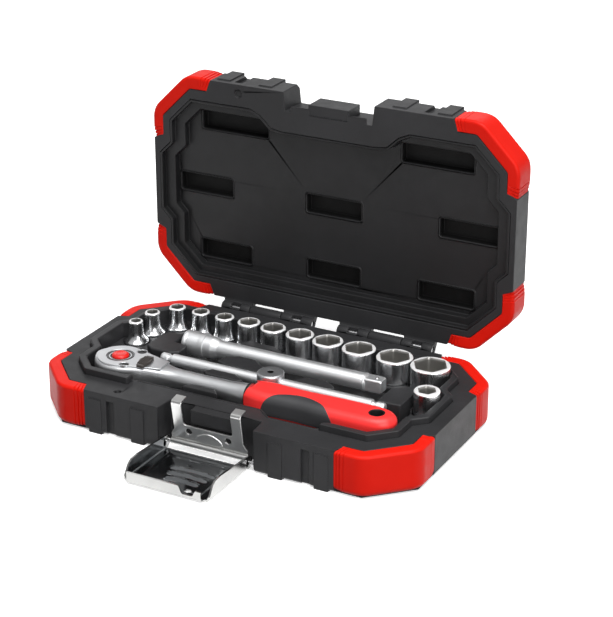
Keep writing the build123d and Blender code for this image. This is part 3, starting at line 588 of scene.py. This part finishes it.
def socket_rings(flats, diameter):
    """Rings of a socket from the bore's foot, round the outside and down into the hexagon."""
    radius = diameter / 2
    slim = diameter < 11.8
    foot = 5.9 if slim else radius - 0.9
    bore = min(flats, drive_size) / 2 - 0.6
    rings = [("circle", bore, 9.5), ("square", drive_opening, 9.5), ("square", drive_opening, 0.35),
             ("square", 3.5, 0.0)]
    rings += circles((foot - 0.6, 0.0), (foot - 0.18, 0.15), (foot, 0.6))
    if slim:
        rings += circles((foot, 13.3), (foot - 0.1, 13.7), (foot - 0.35, foot_top))
        for part in (step / 10 for step in range(1, 11)):
            flare = (foot - 0.35 - radius) * (1 - part) ** 2.4
            rings += circles((radius + flare, foot_top + flare_height * part))
    else:
        rings += circles((foot, 7.5), (foot + 0.15, 7.9), (radius - 0.15, 9.0), (radius, 9.5),
                         (radius, 13.5))
    top = socket_length
    hexagon_foot = top - 10.0
    rings += circles((radius, top - 0.9), (radius - 0.08, top - 0.45), (radius - 0.28, top - 0.15),
                     (radius - 0.55, top))
    half = flats / 2
    mouth = min(half + 0.7, (radius - 0.85) / HEXAGON_CORNER)
    rings += [("hexagon", mouth, top), ("hexagon", half, top - 1.0), ("hexagon", half, hexagon_foot)]
    return rings + circles((bore, hexagon_foot), (bore, 9.5))


def stand(name, node, flats, diameter, x, y):
    """A standing socket: bright outside, satin rim, duller steel inside the hexagon."""
    rings = socket_rings(flats, diameter)
    vertices, faces = turned(rings, (x, y, socket_bottom))
    piece(name, vertices, faces, chrome, node, "tool_chrome", [node],
          others=[(rim_steel, (len(rings) - RIM_RINGS) * SEGMENTS),
                  (bore_steel, (len(rings) - BORE_RINGS) * SEGMENTS)])


for name, flats, diameter, x, y in sockets:
    stand(f"socket_{name}_body", f"socket_{name}_mm", flats, diameter, x, y)
stand("bit_adapter_body", "bit_adapter", drive_size, 12.0, 78.9, 4.6)


# ---------------------------------------------------------------- extension bar
def knurl(radius, depth, row, rows):
    """One ring of a diamond knurl."""
    points = []
    for index in range(SEGMENTS):
        phase = (index // 2 + row // 2) % 2
        edge = 1.0 if 0 < row < rows - 1 else 0.0
        reach = radius - depth * edge * phase * (0.5 + 0.5 * (index % 2))
        angle = 2 * math.pi * index / SEGMENTS
        points.append((reach * math.cos(angle), reach * math.sin(angle)))
    return points


rings = [("circle", 0.0, 9.6), ("square", 3.2, 9.6), ("square", drive_opening, 0.4), ("square", 3.6, 0.0)]
rings += circles((5.2, 0.0), (5.7, 0.2), (5.9, 0.7), (5.9, 1.8))
knurl_rows = 22
knurl_start, knurl_length = 1.9, 7.2
knurl_radius, knurl_depth = 5.85, 0.16
for row in range(knurl_rows):
    height = knurl_start + knurl_length * row / (knurl_rows - 1)
    rings.append((knurl(knurl_radius, knurl_depth, row, knurl_rows), 0, height))
rings += circles((5.9, 9.3), (5.9, 11.2), (5.45, 11.5), (5.4, 15.0), (5.3, 15.7), (4.45, 18.2),
                 (4.25, 18.9), (4.0, 89.0), (4.0, 93.6), (3.85, 94.2), (4.3, 94.4), (4.3, 95.0),
                 (4.0, 95.3))
rings += [("square", drive_half, 95.9), ("square", drive_half, 103.0), ("square", 2.75, 103.8),
          ("square", 0.0, 103.8)]
piece("extension_bar_body", *turned(rings, (bars_left, extension_y, extension_z), "+X"), bar_chrome,
      "extension", "tool_chrome", ["extension_bar"], 34.0)

# ---------------------------------------------------------------- sliding T-handle
half_bar = circles((0.0, 0.0), (1.5, 0.0), (1.9, 0.25), (2.35, 0.9), (2.4, 1.6), (2.4, 3.9),
                   (1.95, 4.3), (1.9, 4.6), (1.9, 5.9), (2.0, 6.1), (2.7, 6.5), (2.75, 6.8))
bar_length = 115.5
rings = half_bar + [(shape, size, bar_length - height) for shape, size, height in reversed(half_bar)]
piece("t_bar_body", *turned(rings, (bars_left, bar_y, bar_z), "+X"), bar_chrome, "t_bar",
      "tool_chrome", ["t_bar"], 34.0)
rings = [("circle", 0.0, 8.0), ("square", 2.75, 8.0), ("square", drive_half, 8.5),
         ("square", drive_half, 15.3)]
rings += circles((5.4, 15.5), (5.95, 15.7), (6.3, 16.2), (6.3, 25.7), (6.2, 26.2), (5.9, 26.6),
                 (5.5, 26.8), (1.9, 26.8))
# the hole's wall and floor take the near-black of painted shade
hole_start = len(rings)
rings += circles((1.5, 26.65), (1.3, 26.3), (1.3, 24.5), (0.0, 24.2))
piece("t_bar_slider_body", *turned(rings, (slider_x, bar_y, 0)), satin_chrome, "t_handle", "tool_chrome",
      ["t_bar_slider"], 34.0, others=[(painted_shade_black, hole_start * SEGMENTS)])

# ---------------------------------------------------------------- ratchet
# Place along x, half width, lower and upper level and squareness of the head and shank.
head_sections = []
for sine, cosine in quarter(24):
    half = max(head_radius * sine, 0.02)
    head_sections.append((head_x - head_radius * cosine, half, head_bottom, body_top, 7.0))
head_sections += [(-59.0, 11.85, 13.0, 25.0, 7.0), (-57.0, 11.45, 13.0, 25.0, 7.0),
                  (-54.0, 10.5, 13.0, 25.0, 7.0), (-51.0, 9.35, 13.0, 25.0, 7.0),
                  (-48.0, 8.2, 13.1, 25.0, 6.5), (-45.0, 7.2, 13.4, 25.0, 5.5),
                  (-43.0, 6.6, 13.9, 24.98, 4.6), (-41.0, 6.1, 14.5, 24.9, 3.8),
                  (-39.0, 5.6, 15.0, 24.8, 3.2), (-37.0, 5.15, 15.4, 24.7, 2.8),
                  (-35.0, 4.8, 15.7, 24.65, 2.4), (-33.0, 4.55, 15.8, 24.6, 2.2),
                  (-30.0, 4.42, 15.8, 24.6, 2.0), (-15.0, 4.5, 15.72, 24.68, 2.0),
                  (-5.0, 4.65, 15.55, 24.85, 2.0), (0.0, 4.9, 15.3, 25.1, 2.0),
                  (3.0, 5.25, 14.95, 25.45, 2.0), (5.2, 5.6, 14.6, 25.8, 2.0),
                  (6.2, 5.6, 14.6, 25.8, 2.0)]
section_points = 64
sections = []
for x, half, low, high, squareness in head_sections:
    section = []
    for index in range(section_points):
        angle = 2 * math.pi * index / section_points
        cosine, sine = math.cos(angle), math.sin(angle)
        across = math.copysign(abs(cosine) ** (2 / squareness), cosine) * half
        rise = math.copysign(abs(sine) ** (2 / squareness), sine) * (high - low) / 2
        section.append((x, ratchet_y + across, (high + low) / 2 + rise))
    sections.append(section)
piece("ratchet_body_skin", *swept(sections), satin_chrome, "ratchet", "satin_chrome",
      ["ratchet_body"], 40.0)
rings = circles((5.5, 4.9), (5.85, 5.05), (5.95, 5.3), (5.95, 6.1))
piece("grip_seal", *turned(rings, (0, ratchet_y, ratchet_z), "+X"), screw_black, "ratchet",
      "lever_plastic", (), 40.0)

# the cover plate: an arc round the drive, open (in degrees) on each side of the shank, and a tail
plate_radius, plate_open, plate_steps = 10.7, 72, 32
plate = []
for step in range(plate_steps + 1):
    angle = math.radians(plate_open + (360 - 2 * plate_open) * step / plate_steps)
    plate.append((head_x + plate_radius * math.cos(angle), ratchet_y + plate_radius * math.sin(angle)))
plate += [(-45.0, ratchet_y - 6.0), (-39.0, ratchet_y - 4.4), (-39.0, ratchet_y + 4.4),
          (-45.0, ratchet_y + 6.0)]
screw_places = [(-56.0, ratchet_y - 7.8), (-56.0, ratchet_y + 7.8)]
holes = [circle(head_x, ratchet_y, 6.45, 48)] + [circle(x, y, 2.1, 24) for x, y in screw_places]
piece("ratchet_cover_plate", *slab(plate, 24.6, head_top, holes, 0.35), satin_chrome, "ratchet",
      "satin_chrome", ["ratchet_cover"], 40.0)
rings = circles((2.08, 24.8), (2.08, 25.15), (1.9, 25.25), (1.05, 25.28))
rings += [("hexagon", 0.85, 25.2), ("hexagon", 0.85, 25.06), ("circle", 0.0, 25.04)]
solids = [turned(rings, (x, y, 0)) for x, y in screw_places]
piece("cover_screw_heads", *joined(*solids), screw_black, "ratchet", "plain_steel",
      ["cover_screws"], 35.0)
rings = circles((6.1, 25.0), (6.1, 25.3), (6.0, 25.4), (5.45, 25.4), (5.35, 25.3), (5.35, 25.0))
piece("drive_collar", *turned(rings, (head_x, ratchet_y, 0)), collar_steel, "ratchet_drive",
      "satin_chrome", (), 35.0)
# a near-black recessed ring: painted shade in the gaps between the button, the collar and the cover plate
rings = circles((6.35, 24.8), (6.35, 25.05), (6.25, 25.12), (4.2, 25.12), (4.15, 25.05), (4.15, 24.0))
piece("drive_gap_shade", *turned(rings, (head_x, ratchet_y, 0)), painted_shade_black, "ratchet_drive",
      "satin_chrome", (), 35.0)
rings = circles((4.05, 24.0), (4.05, 25.35), (3.9, 25.85), (3.5, 26.2), (2.9, 26.42), (2.5, 26.4),
                (2.1, 26.25), (1.2, 26.15), (0.0, 26.12))
piece("release_button_cap", *turned(rings, (head_x, ratchet_y, 0)), button_red, "release_button",
      "button_red", ["release_button"], 40.0)

# reversing lever: a ribbed wedge on its stem
wedge = [(-1.9, -8.0), (1.4, -7.6), (2.0, -2.0), (0.6, 3.4), (-2.8, 3.2), (-4.0, -1.6)]
outline = round_corners([(selector_x + x, ratchet_y + y) for x, y in wedge], 0.6, 3)
solids = [slab(outline, head_top + 0.05, head_top + 1.25, (), 0.3)]
rib_count, rib_pitch = 4, 1.05
for number in range(rib_count):
    left = selector_x - 2.9 + number * rib_pitch
    rib = [(left + 0.5, ratchet_y - 6.2), (left + 1.0, ratchet_y - 6.2), (left + 0.3, ratchet_y + 1.6),
           (left - 0.2, ratchet_y + 1.6)]
    solids.append(slab(rib, head_top + 1.0, head_top + 1.6, (), 0.16))
piece("reversing_lever_wedge", *joined(*solids), lever_plastic, "selector", "lever_plastic",
      ["reversing_lever"], 40.0)

# ---------------------------------------------------------------- ratchet grip
def curve(points, steps=10):
    """A smooth open line through the points (Catmull-Rom)."""
    padded = [points[0], *points, points[-1]]
    line = []
    for index in range(1, len(padded) - 2):
        p0, p1, p2, p3 = (Vector(p) for p in padded[index - 1:index + 3])
        for step in range(steps):
            t = step / steps
            line.append(tuple(0.5 * (2 * p1 + (p2 - p0) * t + (2 * p0 - 5 * p1 + 4 * p2 - p3) * t * t
                                     + (3 * p1 - p0 - 3 * p2 + p3) * t ** 3)))
    line.append(tuple(points[-1]))
    return line


side = [(6.0, 6.6), (10.0, 7.7), (15.0, 8.3), (24.0, 7.9), (32.0, 7.6), (41.0, 8.0), (50.0, 8.4),
        (60.0, 8.4), (68.0, 8.2), (73.0, 7.0), (76.4, 4.4), (77.7, 1.6), (78.0, 0.0)]
grip_side = curve(side, 6)
grip_rise = 6.2  # half of the grip's height
grip_round = 3.8
grip_hole_x, grip_hole_radius = 68.7, 3.45
grip_outline = [(x, ratchet_y - y) for x, y in grip_side]
grip_outline += [(x, ratchet_y + y) for x, y in reversed(grip_side[:-1])]
grip_hole = circle(grip_hole_x, ratchet_y, grip_hole_radius, 40)
piece("grip_skin", *slab(grip_outline, ratchet_z - grip_rise, ratchet_z + grip_rise, [grip_hole],
                         grip_round, grip_round, 8, 0.5),
      grip_red, "ratchet", "grip_red", ["grip_shell"], 50.0)


def grip_half(x):
    """Half width of the grip at a place along it."""
    for (start, first), (end, second) in zip(grip_side, grip_side[1:]):
        if x <= end:
            return first + (second - first) * (x - start) / (end - start)
    return grip_side[-1][1]


def on_grip(x, run, proud):
    """A point on the front half of the grip, run along its section from the middle of the top."""
    flat = grip_half(x) - grip_round
    angle = (run - flat) / grip_round
    top = ratchet_z + grip_rise
    if angle < 0:
        return (x, ratchet_y - run, top + proud)
    if angle < math.pi / 2:
        reach = grip_round + proud
        return (x, ratchet_y - flat - reach * math.sin(angle),
                top - grip_round + reach * math.cos(angle))
    return (x, ratchet_y - flat - grip_round - proud,
            top - grip_round - (angle - math.pi / 2) * grip_round)


# dark lining of the hanging hole
rings = circles((3.75, -5.9), (3.75, 5.95), (3.65, 6.12), (3.2, 6.12), (3.0, 5.9), (3.0, -5.9),
                (3.75, -5.9))
piece("grip_hole_lining", *turned(rings, (grip_hole_x, ratchet_y, ratchet_z)), screw_black, "ratchet",
      "grip_rubber", (), 40.0)

# soft inset: an ellipse wrapped over the grip's front edge
inset_x, inset_long, inset_deep = 33.4, 18.2, 14.6
inset_drop = 5.9  # how far it reaches down the grip's side
inset_proud = 0.14
inset_columns, inset_rows = 48, 20
sections = []
for column in range(inset_columns + 1):
    part = column / inset_columns
    x = inset_x - 0.995 * inset_long * math.cos(math.pi * part)
    finish = grip_half(x) - grip_round + grip_round * math.pi / 2 + inset_drop
    start = finish - inset_deep * math.sqrt(1 - ((x - inset_x) / inset_long) ** 2)
    runs = [start + (finish - start) * row / inset_rows for row in range(inset_rows + 1)]
    proud = inset_proud * min(1.0, 6.0 * part, 6.0 * (1 - part))
    section = [on_grip(x, run, proud if 0 < row < inset_rows else proud - 0.1)
               for row, run in enumerate(runs)]
    section += [on_grip(x, run, -0.4) for run in reversed(runs)]
    sections.append(section)
piece("grip_inset_pad", *swept(sections), grip_rubber, "ratchet", "grip_rubber", ["grip_inset"], 40.0)

# ---------------------------------------------------------------- latch
plate_low = 0.4
sheet = 0.9
lever_half = 21.5
cover_back, cover_front = -55.0, -88.2
lip_y = lever_y - 36.5
lip_share = 20.39 / lever_half  # half width at the lip's edge over half width of the lever
hole_x, hole_y, hole_radius = 9.0, lip_y + 5.5, 1.6
# Height of the side flanges along the lever, from the pivot to the lip.
FLANGE = [(-55.0, 6.6), (-78.5, 8.4), (-82.5, 8.0), (-84.8, 6.6), (-86.3, 4.4), (-87.4, 2.6),
          (-88.2, 2.2)]
# Pressed ribs: place of the middle across and along the lever, and half length.
RIBS = [(2.0, -68.0, 10.0), (2.0, -73.0, 8.5), (2.0, -78.0, 7.0)]
rib_rise, rib_half, rib_sag = 0.75, 1.5, 0.0105
margin_rise = 0.35  # how far the cover's margin stands above its middle


def eased(part):
    """A smooth step from 0 to 1."""
    return part * part * (3 - 2 * part)


def between(table, value):
    """Value of a table of (place, height) rows, places falling."""
    for (start, first), (end, second) in zip(table, table[1:]):
        if value >= end:
            return first + (second - first) * (start - value) / (start - end)
    return table[-1][1]


def pressed(x, y):
    """How far the lever's cover is pressed up at a place."""
    height = 0.0
    for middle_x, middle_y, reach in RIBS:
        past_end = max(abs(x - middle_x) - reach, 0.0)
        off = math.hypot(past_end, y - middle_y + rib_sag * (x - middle_x) ** 2)
        height = max(height, rib_rise * eased(max(0.0, 1 - off / rib_half)))
    margin = max(abs(x) - 15.2, -85.2 - y, y + 61.0, 0.0)
    return height + margin_rise * eased(min(margin / 1.2, 1.0))


def lip_height(x):
    """Height of the lip's edge: full, then a notch for a fingertip, then a lower corner."""
    if x < 8.0:
        return 6.0
    if x < 9.6:
        return 6.0 - 3.6 * (x - 8.0) / 1.6
    if x < 15.2:
        return 2.4
    if x < 16.6:
        return 2.4 + 2.8 * (x - 15.2) / 1.4
    return 5.2


bend = 2.0
column_steps, row_steps, bend_steps = 58, 52, 5
columns = [-lever_half + bend + 2 * (lever_half - bend) * i / column_steps
           for i in range(column_steps + 1)]
rows = []
for y in (cover_back + (cover_front - cover_back) * i / row_steps for i in range(row_steps + 1)):
    flange = between(FLANGE, y)
    # the flange from its edge down, then the bend into the cover; the other side is its mirror image
    fold = [(lever_half, plate_low + bend + (flange - bend) * level / bend_steps)
            for level in range(bend_steps, 0, -1)]
    fold += [(lever_half - bend * (1 - cosine), plate_low + bend * (1 - sine))
             for sine, cosine in quarter(bend_steps)[:-1]]
    rows.append([(-x, y, z) for x, z in fold]
                + [(x, y, plate_low + pressed(x, y)) for x in columns]
                + [(x, y, z) for x, z in reversed(fold)])
grid, quads = swept(rows, False)
# the hole: faces over it are left out and the points round it are pulled onto its edge
kept = []
for face in quads:
    centre = sum((Vector(grid[i]) for i in face), Vector((0, 0, 0))) / 4
    if math.hypot(centre.x - hole_x, centre.y - hole_y) > hole_radius:
        kept.append(face)
used = {i for face in kept for i in face}
for index in used:
    x, y, z = grid[index]
    reach = math.hypot(x - hole_x, y - hole_y)
    if reach < hole_radius + 0.35:
        scale = hole_radius / max(reach, 0.01)
        grid[index] = (hole_x + (x - hole_x) * scale, hole_y + (y - hole_y) * scale, z)
# the lip: a bend up from the cover's front edge, then straight up to the lip's own edge
lip_steps = 6
lip_rows = []
for step in range(2 * lip_steps + 1):
    row = []
    for x in columns:
        narrowed = x * (1 - (1 - lip_share) * min(step / bend_steps, 1.0))
        if step <= lip_steps:
            angle = math.pi / 2 * step / lip_steps
            y = cover_front - 0.3 * min(step, 1) - bend * math.sin(angle)
            z = plate_low + bend * (1 - math.cos(angle))
            z += pressed(x, cover_front) * (1 - step / lip_steps)
        else:
            y = lip_y
            z = plate_low + bend + (lip_height(x) - bend) * (step - lip_steps) / lip_steps
        row.append((narrowed, y, z))
    lip_rows.append(row)
lever = joined((grid, kept), swept(lip_rows, False))


def sheet_metal(thing, thickness, edge, inner):
    """Give a surface the thickness of sheet metal, inwards, with eased edges and a duller inside."""
    thing.data.materials.append(inner)
    solid = thing.modifiers.new("solid", "SOLIDIFY")
    solid.material_offset = 1
    solid.thickness = thickness * MM
    solid.offset = -1.0
    solid.use_even_offset = True
    bevel = thing.modifiers.new("bevel", "BEVEL")
    bevel.width = edge * MM
    bevel.segments = 2
    bevel.limit_method = "ANGLE"
    bevel.angle_limit = math.radians(50)
    thing.modifiers.move(thing.modifiers.find("weighted"), len(thing.modifiers) - 1)


lever_cover = piece("latch_lever_cover", *lever, latch_steel, "latch_lever", "latch_steel",
                    ["latch_lever"], 45.0)
sheet_metal(lever_cover, sheet, 0.18, latch_inner)
# two bumps on the lip, and the ears round the pivot
solids = []
bump_half, bump_low, bump_high = 1.5, 2.2, 5.4
for middle in (-13.5, -1.5):
    left, right = middle - bump_half, middle + bump_half
    corners = [(left, bump_low), (right, bump_low), (right, bump_high), (left, bump_high)]
    vertices, faces = slab(round_corners(corners, 0.5, 3), 0.0, 0.3, (), 0.25)
    solids.append(([(x, lip_y + 0.32 - height, plate_low + z) for x, z, height in vertices], faces))
for sign in (-1, 1):
    vertices, faces = slab(circle(lever_y, lever_z, 3.0, 40), 0.0, sheet, (), 0.2, 0.2)
    outside = sign * lever_half
    solids.append(([(outside - sign * height, y, z) for y, z, height in vertices], faces))
piece("latch_lever_ears", *joined(*solids), latch_steel, "latch_lever", "latch_steel", (), 40.0)

# the claw leans forwards from its pin
lean = math.radians(10.0)


def on_claw(x, rise, out):
    """A point of the claw: across it, up it from its pin, and out from it towards the front."""
    return (x, claw_y - rise * math.sin(lean) - out * math.cos(lean),
            claw_z + rise * math.cos(lean) - out * math.sin(lean))


def on_claw_all(solid):
    """A solid drawn as (across, up, out), put on the claw."""
    vertices, faces = solid
    return [on_claw(*v) for v in vertices], faces


claw_half = 19.5
outline = [(-claw_half, 0.6), (claw_half, 0.6), (claw_half, 3.4), (17.6, 6.4), (17.6, 18.6),
           (12.5, 18.6), (12.5, 9.4), (-12.5, 9.4), (-12.5, 18.6), (-17.6, 18.6), (-17.6, 6.4),
           (-claw_half, 3.4)]
outline = round_corners(outline, [0.3, 0.3, 1.2, 1.4, 0.2, 0.2, 1.5, 1.5, 0.2, 0.2, 1.4, 1.2], 5)
claw_holes = [circle(x, 6.4, 1.6, 28) for x in (-10, 10)]
blade = slab(outline, -1.5, -0.6, claw_holes, 0.2, 0.2, 3)
# a raised plain shape in the middle of the blade
crest = round_corners([(-7.6, 3.0), (-4.0, 1.9), (4.0, 1.9), (7.6, 3.0), (5.6, 5.6), (2.6, 7.2),
                       (0, 7.6), (-2.6, 7.2), (-5.6, 5.6)], 0.9, 4)
emboss = slab(crest, -0.7, -0.15, (), 0.5, 0.0, 5)
solids = [on_claw_all(blade), on_claw_all(emboss)]
# arms bent back over the top into hooks: (up, out) along the middle of the arm, and its section
arm_x, arm_out = 15.05, -1.05
hook_start, hook_round = 19.57, 1.3
path = [(18.4, arm_out)]
path += [(hook_start + hook_round * sine, arm_out - hook_round * (1 - cosine))
         for sine, cosine in quarter(8)]
path += [(20.867, -3.6), (20.867, -5.9)]
ARM = [(-2.55, -0.3), (-2.4, -0.45), (2.4, -0.45), (2.55, -0.3), (2.55, 0.3), (2.4, 0.45),
       (-2.4, 0.45), (-2.55, 0.3)]
for sign in (-1, 1):
    sections = []
    for index, (rise, out) in enumerate(path):
        first, second = path[max(index - 1, 0)], path[min(index + 1, len(path) - 1)]
        direction = Vector((second[0] - first[0], second[1] - first[1])).normalized()
        normal = Vector((-direction.y, direction.x))
        sections.append([on_claw(sign * arm_x + across, rise + normal.x * depth, out + normal.y * depth)
                         for across, depth in ARM])
    solids.append(swept(sections))
# the rolled lower edge, open at its ends round the pin
roll = 2 * claw_half
rings = circles((0.78, 0.0), (1.3, 0.0), (1.5, 0.25), (1.5, roll - 0.25), (1.3, roll), (0.78, roll),
                (0.78, 0.0))
solids.append(turned(rings, (-claw_half, claw_y, claw_z), "+X"))
piece("latch_claw_sheet", *joined(*solids), claw_steel, "latch_claw", "latch_steel",
      ["latch_claw"], 40.0)

# ---------------------------------------------------------------- painted shade in the lid pockets
# Place of the middle, and length.
pockets = [(sign * 53.3, -33.4, 36.0) for sign in (-1, 1)]
pockets += [(x, 0.0, 29.0) for x in (-69.8, 0.0, 69.8)]
pockets += [(x, 33.4, 28.0) for x in (-59.3, 0.0, 59.3)]
pocket_deep = 9.0
clearance = 0.03
# How far a pocket's painted shade lining is drawn in, and its height above the lid's rim.
POCKET_LEVELS = [(0.0, 7.6), (0.0, 10.5), (0.5, 10.95)]
for number, (x, y, length) in enumerate(pockets):
    reach_x, reach_y = length / 2 - clearance, pocket_deep / 2 - clearance
    corners = [(x - reach_x, y - reach_y), (x + reach_x, y - reach_y),
               (x + reach_x, y + reach_y), (x - reach_x, y + reach_y)]
    loop = facing(round_corners(corners, 0.75, 4))
    vertices = []
    for amount, height in POCKET_LEVELS:
        vertices += [(px, py, lid_z + height) for px, py in inset(loop, amount)]
    faces = strips(len(POCKET_LEVELS), len(loop))
    faces.append(tuple(range(len(vertices) - len(loop), len(vertices))))
    # each lining is a near-black sheet inside the liner's pocket: painted shade of the pocket's depth
    piece(f"lid_pocket_shade_{number + 1}", vertices, faces, painted_shade_black, "lid", "liner_plastic", (),
          60.0, opened)

# ---------------------------------------------------------------- floor, lights, camera
def add_light(name, place, target, energy, size):
    """An area light aimed at a point."""
    data = bpy.data.lights.new(name, "AREA")
    data.energy = energy
    data.shape = "RECTANGLE"
    data.size, data.size_y = size
    light = add_object(name, data)
    light.location = place
    light.rotation_euler = (Vector(target) - Vector(place)).to_track_quat("-Z", "Y").to_euler()


# from here on lengths are in metres
floor_half = 3.0
floor_mesh = bpy.data.meshes.new("floor")
floor_mesh.from_pydata([(-floor_half, -floor_half, 0), (floor_half, -floor_half, 0),
                        (floor_half, floor_half, 0), (-floor_half, floor_half, 0)], [], [(0, 1, 2, 3)])
floor = add_object("floor", floor_mesh)
floor_dark, floor_light = (0.93, 0.93, 0.93), (0.95, 0.95, 0.95)
floor_material, floor_tree, floor_shader = new_material("floor", floor_dark, 0.75, 0.0, 0.2)
floor_tone = blended(floor_tree, noise(floor_tree, 6.0, 3.0), floor_dark, floor_light)
floor_tree.links.new(floor_tone, floor_shader.inputs["Base Color"])
floor_shader.inputs["Emission Color"].default_value = (1, 1, 1, 1)
floor_shader.inputs["Emission Strength"].default_value = 0.50
floor_mesh.materials.append(floor_material)
floor.visible_diffuse = False

world = bpy.data.worlds.new("studio")
bpy.context.scene.world = world
world.use_nodes = True
tree = world.node_tree
background = tree.nodes["Background"]
place = tree.nodes.new("ShaderNodeTexCoord")
split = tree.nodes.new("ShaderNodeSeparateXYZ")
tree.links.new(place.outputs["Generated"], split.inputs["Vector"])
ramp = tree.nodes.new("ShaderNodeValToRGB")
ramp.color_ramp.elements[0].position = 0.0
ramp.color_ramp.elements[0].color = (0.26, 0.26, 0.265, 1)
ramp.color_ramp.elements[1].position = 1.0
ramp.color_ramp.elements[1].color = (1.0, 1.0, 1.0, 1)
middle = ramp.color_ramp.elements.new(0.35)
middle.color = (0.44, 0.44, 0.45, 1)
tree.links.new(split.outputs["Z"], ramp.inputs["Fac"])
tree.links.new(ramp.outputs["Color"], background.inputs["Color"])
background.inputs["Strength"].default_value = 0.55

add_light("key", (0.25, -0.30, 1.15), (0, 0, 0.02), 15.0, (1.1, 0.8))
add_light("side", (0.45, -0.34, 0.24), (0.08, 0, 0.02), 1.5, (0.3, 0.3))
add_light("back", (-0.60, 1.0, 0.62), (0, 0, 0.03), 2.4, (1.2, 0.5))

azimuth, elevation = math.radians(28.05), math.radians(23.3)
distance = 0.948
target = Vector((-0.00947, 0.05708, 0.02835))
back = Vector((math.sin(azimuth) * math.cos(elevation), -math.cos(azimuth) * math.cos(elevation),
               math.sin(elevation)))
camera_data = bpy.data.cameras.new("camera")
camera_data.lens = 114.52
camera_data.sensor_width = 36.0
camera_data.clip_start = 0.01
camera_data.clip_end = 20.0
camera = add_object("camera", camera_data)
camera.location = target + back * distance
camera.rotation_euler = back.to_track_quat("Z", "Y").to_euler()
bpy.context.scene.camera = camera
bpy.context.scene.view_settings.view_transform = "Standard"
